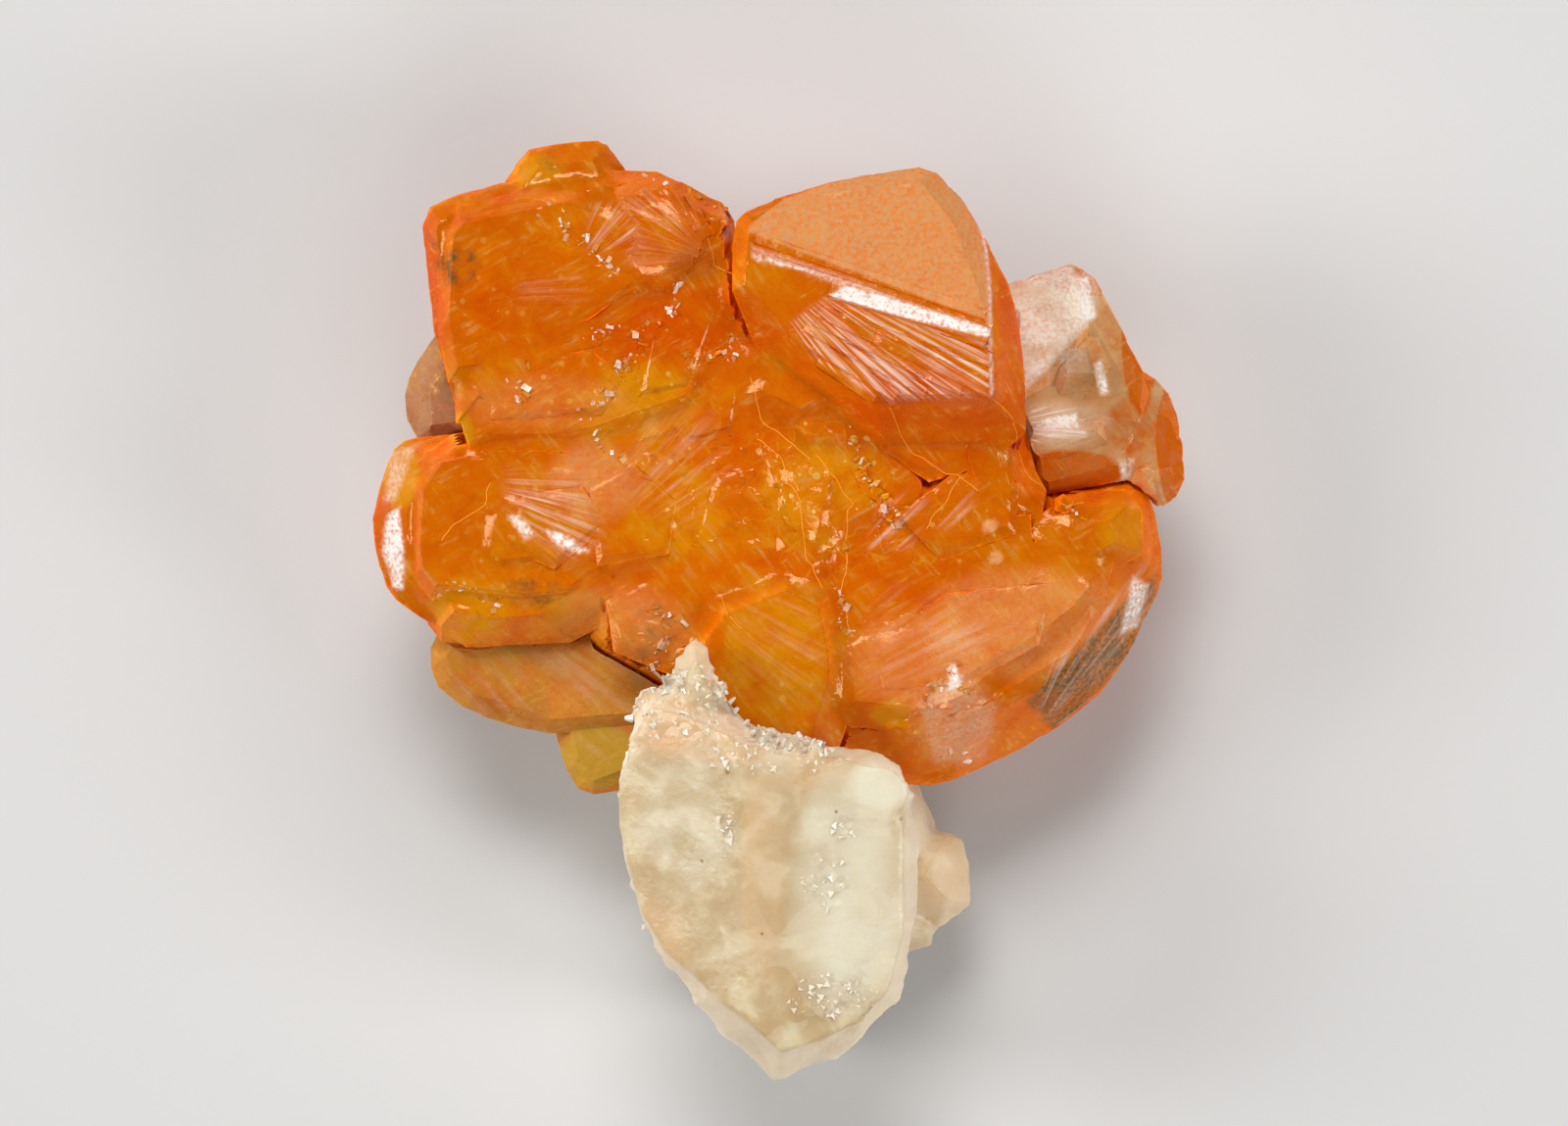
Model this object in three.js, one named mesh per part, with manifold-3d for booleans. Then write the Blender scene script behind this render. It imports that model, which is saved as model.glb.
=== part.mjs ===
// Wulfenite on calcite: a loose specimen, lying on its back.
// A cluster of flat, square-edged orange wulfenite crystals that have grown through each other sits
// on a block of cream-white calcite that narrows to a point. Millimetres, +Z up.
// +X is the specimen's right, +Y its upper end, and its front looks up, along +Z.
import * as THREE from 'three';
import { mergeVertices } from 'three/addons/utils/BufferGeometryUtils.js';
import Module from 'manifold-3d';

const wasm = await Module();
wasm.setup();

// ---- driving dimensions ----
const BLOCK = 120; // the block that every crystal is cut from
const CONTACT_GAP = 0.3; // between crystals that touch but have not grown together
const REST_LEVEL = 0; // the level of the backs that the specimen lies on
const RIB_SLOPE = 20; // degrees that the long side of a growth rib is tilted by
const RIB_CREST = 0.85; // how far across a growth rib its crest lies
const RIB_ROOT = 1.2; // how far a growth rib reaches into its crystal
const STEP_TILT = 0.04; // rise per mm of a growth step over the face that it stands on
const STEP_LEAN = 58; // degrees that the sides of a growth step lean in by
const STEP_EDGE = 0.05; // how far below the face the edge of a growth step starts
const STEP_ROOT = 2; // how far a growth step reaches into its crystal
const UNEVEN = 6; // degrees that the lean of a crystal's side facets varies by
const SIDE_TURN = 2.4; // radians between the variations of one side facet and the next
const TOOTH_SIZE = 0.65; // calcite cleavage teeth along a broken edge
const CHIP_SIZE = 0.7; // small wulfenite crystals along the seams
const CALCITE_ANGLE = 75; // degrees between two edges of a calcite cleavage block

// ---- solids ----

// A closed three.js geometry as a solid that can be joined and cut.
function toSolid(geometry) {
  const bare = geometry.clone();
  bare.deleteAttribute('normal');
  bare.deleteAttribute('uv');
  const merged = mergeVertices(bare);
  const vertProperties = Float32Array.from(merged.attributes.position.array);
  const triVerts = Uint32Array.from(merged.index.array);
  return new wasm.Manifold(new wasm.Mesh({ numProp: 3, vertProperties, triVerts }));
}

// A solid as a three.js geometry again.
function toGeometry(solid) {
  const mesh = solid.getMesh();
  const geometry = new THREE.BufferGeometry();
  geometry.setAttribute('position', new THREE.BufferAttribute(mesh.vertProperties, 3));
  geometry.setIndex(new THREE.BufferAttribute(mesh.triVerts, 1));
  return geometry;
}

const join = (solids) => solids.reduce((whole, part) => whole.add(part));

// The same numbers on every run, for the small crystals that are strewn along a seam.
function seeded(seed) {
  let state = seed;
  return () => {
    state = (state * 1664525 + 1013904223) % 4294967296;
    return state / 4294967296;
  };
}

// ---- crystals with flat faces ----

// A level or tilted plane as a function: [height at the middle, rise per mm along X, along Y].
function levelOf(plane, middle) {
  const [z, riseX, riseY] = Array.isArray(plane) ? plane : [plane, 0, 0];
  return (x, y) => z + riseX * (x - middle.x) + riseY * (y - middle.y);
}

function middleOf(outline) {
  const box = new THREE.Box2().setFromPoints(outline.map(([x, y]) => new THREE.Vector2(x, y)));
  return box.getCenter(new THREE.Vector2());
}

// The plane through three points, turned so that `inside` lies behind it.
function facet(a, b, c, inside) {
  const plane = new THREE.Plane().setFromCoplanarPoints(a, b, c);
  return plane.distanceToPoint(inside) > 0 ? plane.negate() : plane;
}

// The two facets that meet in one side of the girdle, the outline's widest line.
function sideFacets(a, b, inside, lean, undercut) {
  const along = new THREE.Vector3().subVectors(b, a);
  const inward = new THREE.Vector3(-along.y, along.x, 0).normalize();
  const toInside = new THREE.Vector3().subVectors(inside, a);
  if (inward.dot(toInside) < 0) inward.negate();
  const rise = (degrees, sign) => {
    const angle = THREE.MathUtils.degToRad(degrees);
    return a.clone().addScaledVector(inward, Math.sin(angle)).add(
      new THREE.Vector3(0, 0, sign * Math.cos(angle)));
  };
  return [facet(a, b, rise(lean, 1), inside), facet(a, b, rise(undercut, -1), inside)];
}

// Every facet of a crystal. `outline` is its girdle from the front, `girdle`, `front` and `back` are
// planes, `lean` and `undercut` are how far the side facets lean in, in degrees from upright, `uneven`
// is how much that differs from one side to the next, and `cuts` are further facets, each one a point
// on it and the way it faces.
function facetsOf({ outline, girdle, front, back, lean = 20, undercut = 25, uneven = UNEVEN, cuts = [] }) {
  const middle = middleOf(outline);
  const [girdleAt, frontAt, backAt] = [girdle, front, back].map((plane) => levelOf(plane, middle));
  const corners = outline.map(([x, y]) => new THREE.Vector3(x, y, girdleAt(x, y)));
  const inside = new THREE.Vector3(middle.x, middle.y, girdleAt(middle.x, middle.y));
  const flat = (at) => {
    const points = [[0, 0], [1, 0], [0, 1]].map(([dx, dy]) => {
      const [x, y] = [middle.x + dx, middle.y + dy];
      return new THREE.Vector3(x, y, at(x, y));
    });
    return facet(...points, inside);
  };
  const sides = corners.flatMap((corner, i) => {
    const change = uneven * Math.sin(i * SIDE_TURN);
    return sideFacets(corner, corners[(i + 1) % corners.length], inside, lean + change, undercut - change);
  });
  const extra = cuts.map(([at, facing]) => new THREE.Plane().setFromNormalAndCoplanarPoint(
    new THREE.Vector3(...facing).normalize(), new THREE.Vector3(...at)));
  return [flat(frontAt), flat(backAt), ...sides, ...extra];
}

// The block that lies behind every facet, each facet moved out by `grow`.
function crystal(spec, grow = 0) {
  const block = toSolid(new THREE.BoxGeometry(BLOCK, BLOCK, BLOCK));
  return facetsOf(spec).reduce((solid, { normal, constant }) =>
    solid.trimByPlane([-normal.x, -normal.y, -normal.z], constant - grow), block);
}

// The largest piece of a solid that has come apart.
const largest = (solid) => solid.decompose().sort((a, b) => b.volume() - a.volume())[0];

// A solid less its neighbours, each of them grown by the contact gap.
const beside = (solid, neighbours) =>
  largest(neighbours.reduce((rest, spec) => rest.subtract(crystal(spec, CONTACT_GAP)), solid));

// ---- ribs, chips and teeth ----

// A long low rib from one point to another, `width` wide. One long side of it rises gently from the left
// of the way it runs, and the other drops steeply at its crest.
function rib(from, to, width) {
  const crest = (0.5 - RIB_CREST) * width;
  const shape = new THREE.Shape([
    new THREE.Vector2(-width / 2, -RIB_ROOT),
    new THREE.Vector2(width / 2, -RIB_ROOT),
    new THREE.Vector2(width / 2, 0),
    new THREE.Vector2(crest, ribHeight(width)),
    new THREE.Vector2(-width / 2, 0),
  ]);
  const start = new THREE.Vector3(...from);
  const along = new THREE.Vector3(...to).sub(start);
  const geometry = new THREE.ExtrudeGeometry(shape, { depth: along.length(), bevelEnabled: false });
  const forward = along.clone().normalize();
  const side = new THREE.Vector3(0, 0, 1).cross(forward).normalize();
  const up = forward.clone().cross(side);
  const turn = new THREE.Matrix4().makeBasis(side, up, forward).setPosition(start);
  return toSolid(geometry.applyMatrix4(turn));
}

const ribHeight = (width) => RIB_CREST * width * Math.tan(THREE.MathUtils.degToRad(RIB_SLOPE));

// A small tilted crystal: a square plate with its corners cut, as young wulfenite grows.
function chip(at, size, random) {
  const geometry = new THREE.CylinderGeometry(size * 0.45, size * 0.6, size * 0.8, 4, 1);
  const turn = new THREE.Euler(random() * 2, random() * 2, random() * 3);
  geometry.applyMatrix4(new THREE.Matrix4().makeRotationFromEuler(turn).setPosition(...at));
  return toSolid(geometry);
}

// A calcite cleavage block: a box leaning over in two directions, turned by a small random angle.
function tooth(at, size, random, spread = 0.9) {
  const lean = 1 / Math.tan(THREE.MathUtils.degToRad(CALCITE_ANGLE));
  const geometry = new THREE.BoxGeometry(size, size * (0.7 + random() * 0.8), size * (0.8 + random() * 0.5));
  geometry.applyMatrix4(new THREE.Matrix4().makeShear(lean, lean, 0, lean, 0, 0));
  const turn = new THREE.Euler((random() - 0.5) * spread, (random() - 0.5) * spread, random() * 1.6);
  geometry.applyMatrix4(new THREE.Matrix4().makeRotationFromEuler(turn).setPosition(...at));
  return toSolid(geometry);
}

// Small pieces strewn along a route of points, `spacing` apart, each moved a little to the side.
function strewAlong(route, spacing, jitter, random, make) {
  const points = route.map((point) => new THREE.Vector3(...point));
  return points.slice(1).flatMap((end, i) => {
    const start = points[i];
    const count = Math.max(1, Math.round(start.distanceTo(end) / spacing));
    return Array.from({ length: count }, (_, k) => {
      const at = start.clone().lerp(end, (k + random() * 0.6) / count);
      at.x += (random() - 0.5) * jitter;
      at.y += (random() - 0.5) * jitter;
      at.z += (random() - 0.5) * jitter * 0.5;
      return make(at.toArray());
    });
  });
}

// ---- the wulfenite that has grown together ----

const upperLeft = {
  outline: [[-18.1, 19.6], [-17.7, 20.6], [-16.3, 21.2], [-14.1, 21.8], [-9.8, 22.5], [-6.2, 22.4],
    [-2.9, 20.8], [-2.3, 19.9], [-1.6, 15.2], [-3.8, 10], [-9.6, 8.1], [-15.7, 8.2], [-17.5, 14.2]],
  girdle: 12.3, front: [13.5, 0.02, -0.02], back: REST_LEVEL, lean: 40, undercut: 23,
};
const topLedge = {
  outline: [[-14.1, 21.6], [-13.3, 22.9], [-12.7, 23.5], [-11.2, 23.8], [-9.2, 24], [-8.7, 23.8],
    [-8, 22.8], [-7.1, 21.4], [-7.2, 17.5], [-12.4, 17.4]],
  girdle: 11.6, front: [13, 0.03, -0.14], back: 3, lean: 40, undercut: 27,
};
const upperLeftPlate = {
  outline: [[-17.1, 19.6], [-16.3, 20.6], [-13.8, 21.2], [-9.8, 21.6], [-6.8, 20.5], [-4.8, 18.1],
    [-5.2, 16.1], [-9.8, 14], [-14.3, 12], [-16.8, 11.6], [-17.3, 14.2]],
  girdle: 13, front: [14.1, 0.02, 0.03], back: 9, lean: 38,
};
const fanCrystal = {
  outline: [[-9.1, 19.3], [-8.4, 21.6], [-6.4, 22.2], [-4.9, 21.8], [-2.9, 20.7], [-2.5, 19.8], [-3.7, 18],
    [-5.3, 16], [-7.8, 16.4]],
  girdle: 13.4, front: [14.8, 0.13, -0.12], back: 8, lean: 34,
};
const upperLeftLedge = {
  outline: [[-16.4, 9.6], [-16.5, 12.2], [-12.5, 13.6], [-9.8, 14.4], [-7, 12.7], [-8, 10], [-11.8, 9.2]],
  girdle: 12.4, front: [13.8, 0.01, 0.05], back: 6, lean: 45,
};

const upperRight = {
  outline: [[-2.7, 18.1], [-2.4, 19.9], [-0.2, 20.9], [2.8, 21.8], [5.2, 22.2], [7, 22.5], [8, 22.2],
    [9.2, 21], [10.5, 18.8], [11.6, 16.6], [12.1, 14.8], [12.4, 12.9], [12.5, 9.2], [11.2, 6.8],
    [3.2, 6.2], [-1.6, 10.8]],
  girdle: [15, -0.1, 0.05], front: [16.4, -0.03, -0.04], back: REST_LEVEL, lean: 40, undercut: 20,
  cuts: [
    [[10.25, 18.1, 16.2], [0.72, 0.36, 0.6]],
    [[10.6, 14, 16.2], [0.78, 0.06, 0.62]],
    [[-1.6, 18.2, 16.4], [-0.8, 0.1, 0.6]],
    [[7.9, 11.3, 16.8], [0.03, -0.75, 0.62]],
    [[3, 12.5, 16.8], [-0.5, -0.7, 0.5]],
    [[-0.9, 15.8, 16.6], [-0.55, -0.55, 0.63]],
  ],
};
const upperRightFoot = {
  outline: [[-3, 16.6], [-2, 19], [2, 19], [5, 14], [5.4, 9.6], [1, 8.2], [-3.4, 10.6]],
  girdle: 12, front: [14.3, 0.05, 0.06], back: 6, lean: 45,
};
const upperRightSlope = {
  outline: [[9, 13], [11.9, 13], [12.7, 9], [13.9, 6.4], [13.4, 4.6], [9.6, 4.4], [7.6, 9]],
  girdle: 10.6, front: [13.3, -0.16, 0.12], back: 3, lean: 30, undercut: 30,
};

const farLeft = {
  outline: [[-20.7, 4.8], [-20.4, 6.2], [-19.9, 7.6], [-19.6, 8.3], [-19.1, 8.7], [-18.4, 8.9],
    [-13.8, 9.4], [-8.4, 9], [-4.6, 6], [-5, 1.4], [-10.6, -1.5], [-16.2, -1.8], [-18.5, -0.1],
    [-19.4, 0.5], [-20, 1.3], [-20.4, 2.4], [-20.6, 3.5]],
  girdle: 10.1, front: [12.1, 0.04, 0], back: 1.5, lean: 42, undercut: 25,
};
const farLeftPlate = {
  outline: [[-18.9, 4.2], [-18.8, 6.7], [-17.9, 8.1], [-14.8, 8.8], [-10, 8.2], [-7.6, 6], [-7.4, 2.4],
    [-9.8, 0.6], [-13.8, 0.2], [-17.8, 0.7], [-18.6, 1.8]],
  girdle: 11.4, front: [12.7, 0.03, 0.03], back: 7, lean: 34,
};
const farLeftStep = {
  outline: [[-16.5, 5.4], [-14, 7.2], [-9.4, 6.8], [-7.8, 4.4], [-10.4, 1.6], [-14.4, 1.4], [-16.6, 3]],
  girdle: 12, front: [13.1, 0.03, 0.07], back: 8, lean: 55,
};
const amberCrystal = {
  outline: [[-17.9, 1], [-17.2, 1.8], [-15.6, 1.7], [-14.2, 1.1], [-13.6, -0.2], [-14, -1.4],
    [-15.2, -1.7], [-17.2, -1.5], [-17.9, -0.6]],
  girdle: 9.6, front: [12, -0.1, -0.1], back: 4, lean: 28, undercut: 30,
};

const core = {
  outline: [[-12.4, 9.4], [-10.5, 13.6], [-5.2, 17], [1, 16], [7.6, 11], [9.4, 6], [8, -2], [3, -5],
    [-4, -5], [-9.6, -2], [-12.4, 4]],
  girdle: 8.6, front: [12.5, 0.01, 0.01], back: 1, lean: 30, undercut: 30,
};
const coreTop = {
  outline: [[-6.3, 10.2], [-4.8, 12.8], [-2.3, 13.6], [0.4, 11.6], [-1.3, 8.1], [-5.1, 7.7]],
  girdle: 11.8, front: [13.2, 0.1, 0.13], back: 8, lean: 50,
};
const coreLeft = {
  outline: [[-11.7, 6.7], [-9.8, 8.6], [-7.2, 8.6], [-4.2, 5.8], [-4.2, 2.2], [-8.4, 0.4], [-11.4, 2.2]],
  girdle: 11.6, front: [13, -0.11, -0.09], back: 7, lean: 50,
};
const coreRight = {
  outline: [[-2.2, 9.2], [0.2, 10.6], [2.8, 9.4], [4.4, 6], [4, 2.4], [1.4, 1.4], [-1.4, 4.2]],
  girdle: 11.8, front: [13.2, 0.1, -0.12], back: 8, lean: 48,
};
const lowCore = {
  outline: [[-5.4, -1.6], [-3.4, 1.4], [-0.6, 2.6], [1.6, 2.5], [3.2, 1.6], [3.7, -1.2], [3.7, -5],
    [2.8, -7.6], [-0.8, -8.6], [-4.4, -6]],
  girdle: 11.6, front: [13.5, 0.01, 0.05], back: 2, lean: 36, undercut: 22,
};
const lensUpper = {
  outline: [[2.2, 8.9], [4.6, 11.4], [8.2, 12.4], [11, 11.6], [12.2, 9.2], [11.9, 7.2], [9.2, 5.6],
    [4.8, 6.2]],
  girdle: 11.2, front: [13.4, -0.06, 0.15], back: 4, lean: 54,
};
const lensLower = {
  outline: [[4.4, 6.6], [8, 8.2], [12.4, 8.4], [13.6, 6.2], [13, 2.8], [8.2, 1.6], [4.6, 2.6]],
  girdle: 10.8, front: [12.9, -0.11, 0.06], back: 3, lean: 50,
};
const lensLeft = {
  outline: [[0.2, 11.4], [3.4, 12.2], [5, 9.4], [3.8, 6.3], [0.6, 6.6], [-1, 9.2]],
  girdle: 12, front: [13.6, 0.1, 0.14], back: 7, lean: 52,
};

const lowerRight = {
  outline: [[8, 6.2], [13.2, 6.5], [17.7, 6.8], [18.7, 6.3], [19.2, 5], [19.5, 3.2], [19.5, 1.6],
    [19.2, 0.2], [18.6, -1.4], [17.5, -3.2], [16.2, -4.6], [15, -5.7], [13.6, -6.6], [11.8, -7.6],
    [9.8, -8.3], [7.8, -8.8], [5.2, -8.8], [-1, -6.4], [-1.4, 2.4]],
  girdle: [8.8, -0.02, 0.03], front: [12, -0.04, 0.05], back: 1, lean: 40, undercut: 24,
  cuts: [
    [[16.8, -2.4, 9], [0.72, -0.42, 0.56]],
    [[12.6, -5.9, 9], [0.42, -0.7, 0.58]],
  ],
};
const lowerRightPlate = {
  outline: [[2, -1.4], [4.6, 1], [10.2, 2.2], [15.2, 3], [17, 2.6], [16.6, 0.8], [14.5, -1.8],
    [10.8, -4.8], [6.8, -6.1], [2.6, -5.8]],
  girdle: 11.4, front: [12.7, -0.03, 0.03], back: 7, lean: 44,
};
const lowerRightAmber = {
  outline: [[12.4, 4.4], [14.6, 6], [17.6, 6.3], [18.5, 5.2], [18.6, 3], [16.5, 1.8], [13.4, 2]],
  girdle: 10.6, front: [12.3, -0.06, 0.05], back: 5, lean: 40,
};

// Smaller crystals on the back of the cluster.
const backUpper = {
  outline: [[-8, 16], [-3, 18.5], [2.5, 17], [4, 12], [0, 8.5], [-6, 9.5]],
  girdle: 5, front: 9, back: [1.8, 0.12, -0.08], undercut: 50,
};
const backLeft = {
  outline: [[-15, 6], [-11, 9.5], [-6.5, 8], [-5.5, 3], [-9, 0], [-14, 1.5]],
  girdle: 4, front: 8, back: [0.9, -0.1, 0.06], undercut: 46,
};
const backRight = {
  outline: [[6, 7], [10, 10.5], [14.5, 8], [15.5, 3], [11.5, -0.5], [7, 1]],
  girdle: 4, front: 8, back: [0.8, 0.08, 0.1], undercut: 48,
};

const grownTogether = [
  upperLeft, topLedge, upperLeftPlate, fanCrystal, upperLeftLedge, upperRight, upperRightFoot,
  upperRightSlope, farLeft, farLeftPlate, farLeftStep, amberCrystal, core, coreTop, coreLeft, coreRight,
  lowCore, lensUpper, lensLower, lensLeft, lowerRight, lowerRightPlate, lowerRightAmber, backUpper,
  backLeft, backRight,
];

// ---- growth steps, ribs and seam crystals on them ----

// A thin step on a crystal's front face. It comes out of the face at one side and stands `rise` above
// it at its middle; `towards` is the direction, in degrees from +X, in which it climbs.
function stepOn(parent, outline, rise, towards) {
  const { x, y } = middleOf(outline);
  const [, riseX, riseY] = parent.front;
  const z = levelOf(parent.front, middleOf(parent.outline))(x, y);
  const angle = THREE.MathUtils.degToRad(towards);
  const tilted = [riseX + STEP_TILT * Math.cos(angle), riseY + STEP_TILT * Math.sin(angle)];
  const girdle = [z - STEP_EDGE, riseX, riseY];
  return { outline, girdle, front: [z + rise, ...tilted], back: z - STEP_ROOT, lean: STEP_LEAN };
}

const growthSteps = [
  stepOn(upperLeftPlate, [[-13.2, 17.2], [-9.6, 17.9], [-6.8, 16.9], [-9.6, 14.8], [-13.2, 14.4]], 0.12, -60),
  stepOn(upperLeft, [[-3.2, 18.6], [-2.9, 15.4], [-4.6, 11.4], [-7.4, 10.8], [-6.8, 14.6], [-4.6, 17]],
    0.2, 170),
  stepOn(upperLeftLedge, [[-14.6, 9.8], [-14.4, 12], [-9.6, 13.4], [-7.8, 12], [-9, 10]], 0.12, -80),
  stepOn(farLeftStep, [[-13, 6], [-10, 6.4], [-8.6, 4.4], [-11.4, 2.2], [-14, 3.4]], 0.2, -40),
  stepOn(core, [[-3.4, 7.4], [-0.8, 8], [1.6, 1.8], [-2, 1], [-4.8, 3.4]], 0.3, 100),
  stepOn(core, [[-9.6, 9.4], [-8, 12.2], [-4.6, 13.4], [-4.8, 8.6], [-8.4, 7.6]], 0.35, 20),
  stepOn(core, [[-8.8, 0.6], [-5, 3], [-3, -0.2], [-5, -3.4], [-8.4, -2]], 0.2, -120),
  stepOn(coreLeft, [[-9.8, 6.4], [-7.4, 7.6], [-5.2, 5.6], [-5.6, 3], [-9.2, 2.4]], 0.12, -150),
  stepOn(lensUpper, [[5, 8.4], [7, 11], [10.4, 10.2], [10.8, 7.6], [7.6, 6.6]], 0.18, -30),
  stepOn(lensLower, [[6, 5], [9, 7.2], [12.2, 6.6], [12, 4], [8.2, 2.6]], 0.15, 30),
  stepOn(lowerRight, [[3.6, 3], [8, 5.2], [12.8, 5], [13, 2.6], [8.6, 1.6]], 0.2, 120),
  stepOn(lowerRightPlate, [[4.8, -1.6], [8.4, 1], [14, 1.6], [13.2, -1.6], [9, -4], [5.2, -4]], 0.12, -50),
];

// Growth ribs: [start x, start y, end x, end y, width]. They fan out over the striated crystal's face
// from its left corner, the broad smooth one above the others, and over the fan crystal's face from its
// lower right corner.
const STRIATED_RIBS = [
  [-1.2, 18.9, 10.4, 15, 0.6], [0, 18.1, 7.4, 15.7, 0.5], [2.6, 16.4, 10.6, 14, 1.15],
  [4.4, 15, 10.7, 12.7, 0.8], [3.2, 15.1, 10.8, 11.9, 0.7], [2, 15.2, 10.8, 11.1, 0.8],
  [1.9, 14.7, 9.2, 11.2, 0.7], [1.3, 14.4, 7.4, 11.1, 0.6], [0.6, 14.2, 5.9, 10.9, 0.7],
  [1.9, 12.7, 4.8, 10.8, 0.5],
];
const FAN_RIBS = [
  [-8.4, 19.4, -4.2, 18.2, 0.5], [-8, 20.6, -4.1, 18.5, 0.6], [-7, 21.3, -4, 18.8, 0.6],
  [-5.8, 21.5, -3.8, 19, 0.5], [-4.7, 21.3, -3.5, 19.2, 0.4],
];

function growthRibs(parent, ribs) {
  const face = levelOf(parent.front, middleOf(parent.outline));
  const widest = Math.max(...ribs.map((sizes) => sizes[4]));
  const bounds = crystal(parent, ribHeight(widest));
  return ribs.map(([x0, y0, x1, y1, width]) =>
    rib([x0, y0, face(x0, y0)], [x1, y1, face(x1, y1)], width).intersect(bounds));
}

// Small crystals along the seams where two large ones meet: routes of points.
const SEAMS = [
  [[-9.2, 10.4, 12.9], [-8.4, 9.4, 12.7], [-8.2, 8.4, 12.5]],
  [[-7.8, 12.4, 13.2], [-6.6, 13.8, 13.5], [-5.4, 15, 13.6]],
  [[3.8, 8, 13], [5, 5.6, 12.6], [6.2, 4.8, 12.4]],
  [[14.2, 5.6, 11.8], [15.4, 5.2, 12]],
  [[-3.6, 13.2, 13.2], [-2.4, 12.9, 13.4]],
  [[-7.4, -0.4, 11.8], [-5.6, -1.6, 11.8]],
  [[7, -4, 12.4], [9, -5, 12.2], [11, -6.6, 11.2]],
];

function seamCrystals() {
  const random = seeded(7);
  return SEAMS.flatMap((route) => strewAlong(route, 0.9, 0.5, random, (at) =>
    chip(at, CHIP_SIZE * (0.6 + random() * 0.8), random)));
}

const mainCluster = largest(join([
  ...[...grownTogether, ...growthSteps].map((spec) => crystal(spec)),
  ...growthRibs(upperRight, STRIATED_RIBS),
  ...growthRibs(fanCrystal, FAN_RIBS),
  ...seamCrystals(),
]));

// ---- the crystals that only touch them ----

const rightCrystals = [
  {
    outline: [[10.6, 15.6], [11.6, 16.7], [13.2, 17.3], [14.9, 17.8], [15.5, 17.5], [16.1, 17], [17.6, 14.2],
      [18.6, 12.2], [19.2, 9.8], [17.8, 6.8], [13.8, 5.6], [10.6, 8]],
    girdle: 9.4, front: [10.6, -0.06, 0.03], back: REST_LEVEL, lean: 40, undercut: 16,
  },
  {
    outline: [[11, 16.2], [12.8, 16.8], [14.7, 17.3], [15.4, 17], [16.3, 15.2], [16, 13], [14.6, 11.4],
      [12.2, 10], [11, 12]],
    girdle: 10, front: [11.6, -0.02, 0.08], back: 6, lean: 34,
  },
  {
    outline: [[14, 14.6], [16.6, 14.6], [17.4, 12.6], [16.3, 10.8], [14, 10.4], [13.2, 12.2]],
    girdle: 10, front: [11.5, -0.12, -0.12], back: 6, lean: 40,
  },
  {
    outline: [[11.4, 9.6], [14.2, 10.7], [16.9, 10.6], [17.4, 8], [15.2, 7.2], [12, 7]],
    girdle: 9.6, front: [11.1, -0.04, 0.16], back: 5, lean: 40,
  },
  {
    outline: [[16.2, 11.4], [17.4, 12.2], [18.4, 12.4], [19.3, 11.9], [19.9, 11.2], [20.3, 10.2],
      [20.6, 8.5], [20.7, 6.8], [20.3, 5.9], [19.7, 5.4], [18.8, 5.4], [17.5, 5.9], [15.4, 7.8], [15, 9.8]],
    girdle: 8.6, front: [10.1, -0.05, 0.05], back: 2, lean: 42, undercut: 24,
  },
  {
    outline: [[16.8, 8], [19.2, 8.5], [20.3, 7.8], [20.4, 6.8], [19.6, 5.6], [18.6, 5.6], [17.3, 6.4]],
    girdle: 8.6, front: [10.3, -0.1, -0.12], back: 4, lean: 34,
  },
];

const smokyCrystal = {
  outline: [[-17.5, 14.2], [-18.4, 12.9], [-18.9, 12], [-19.1, 11.1], [-19, 9.8], [-18.5, 8.9],
    [-17.6, 8.4], [-15.4, 8.4], [-14.8, 11.2], [-15.8, 14]],
  girdle: [8.8, 0.15, 0], front: [10.2, 0.3, 0.05], back: 2.5, lean: 38, undercut: 22,
};

const lowerLeftPlates = [
  {
    outline: [[-17.8, -1.8], [-17.2, -0.6], [-7.8, 1.8], [-3.8, -0.8], [-4.8, -5.8], [-11.8, -6.2],
      [-13.6, -5.8], [-14.9, -5.4], [-16.2, -4.8], [-17.4, -3.8], [-17.8, -2.9]],
    girdle: 8.2, front: [9.4, 0.02, 0.1], back: 3, lean: 42, undercut: 32,
  },
  {
    outline: [[-11.6, -5.6], [-9.8, -3], [-5.2, -3], [-5.2, -8.2], [-8.2, -9.1], [-9.5, -9.3],
      [-10.3, -9], [-10.9, -8.1], [-11.2, -7]],
    girdle: 7.4, front: [8.4, 0.04, 0.06], back: 2.6, lean: 42, undercut: 32,
  },
];

// ---- the calcite that carries them ----

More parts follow.
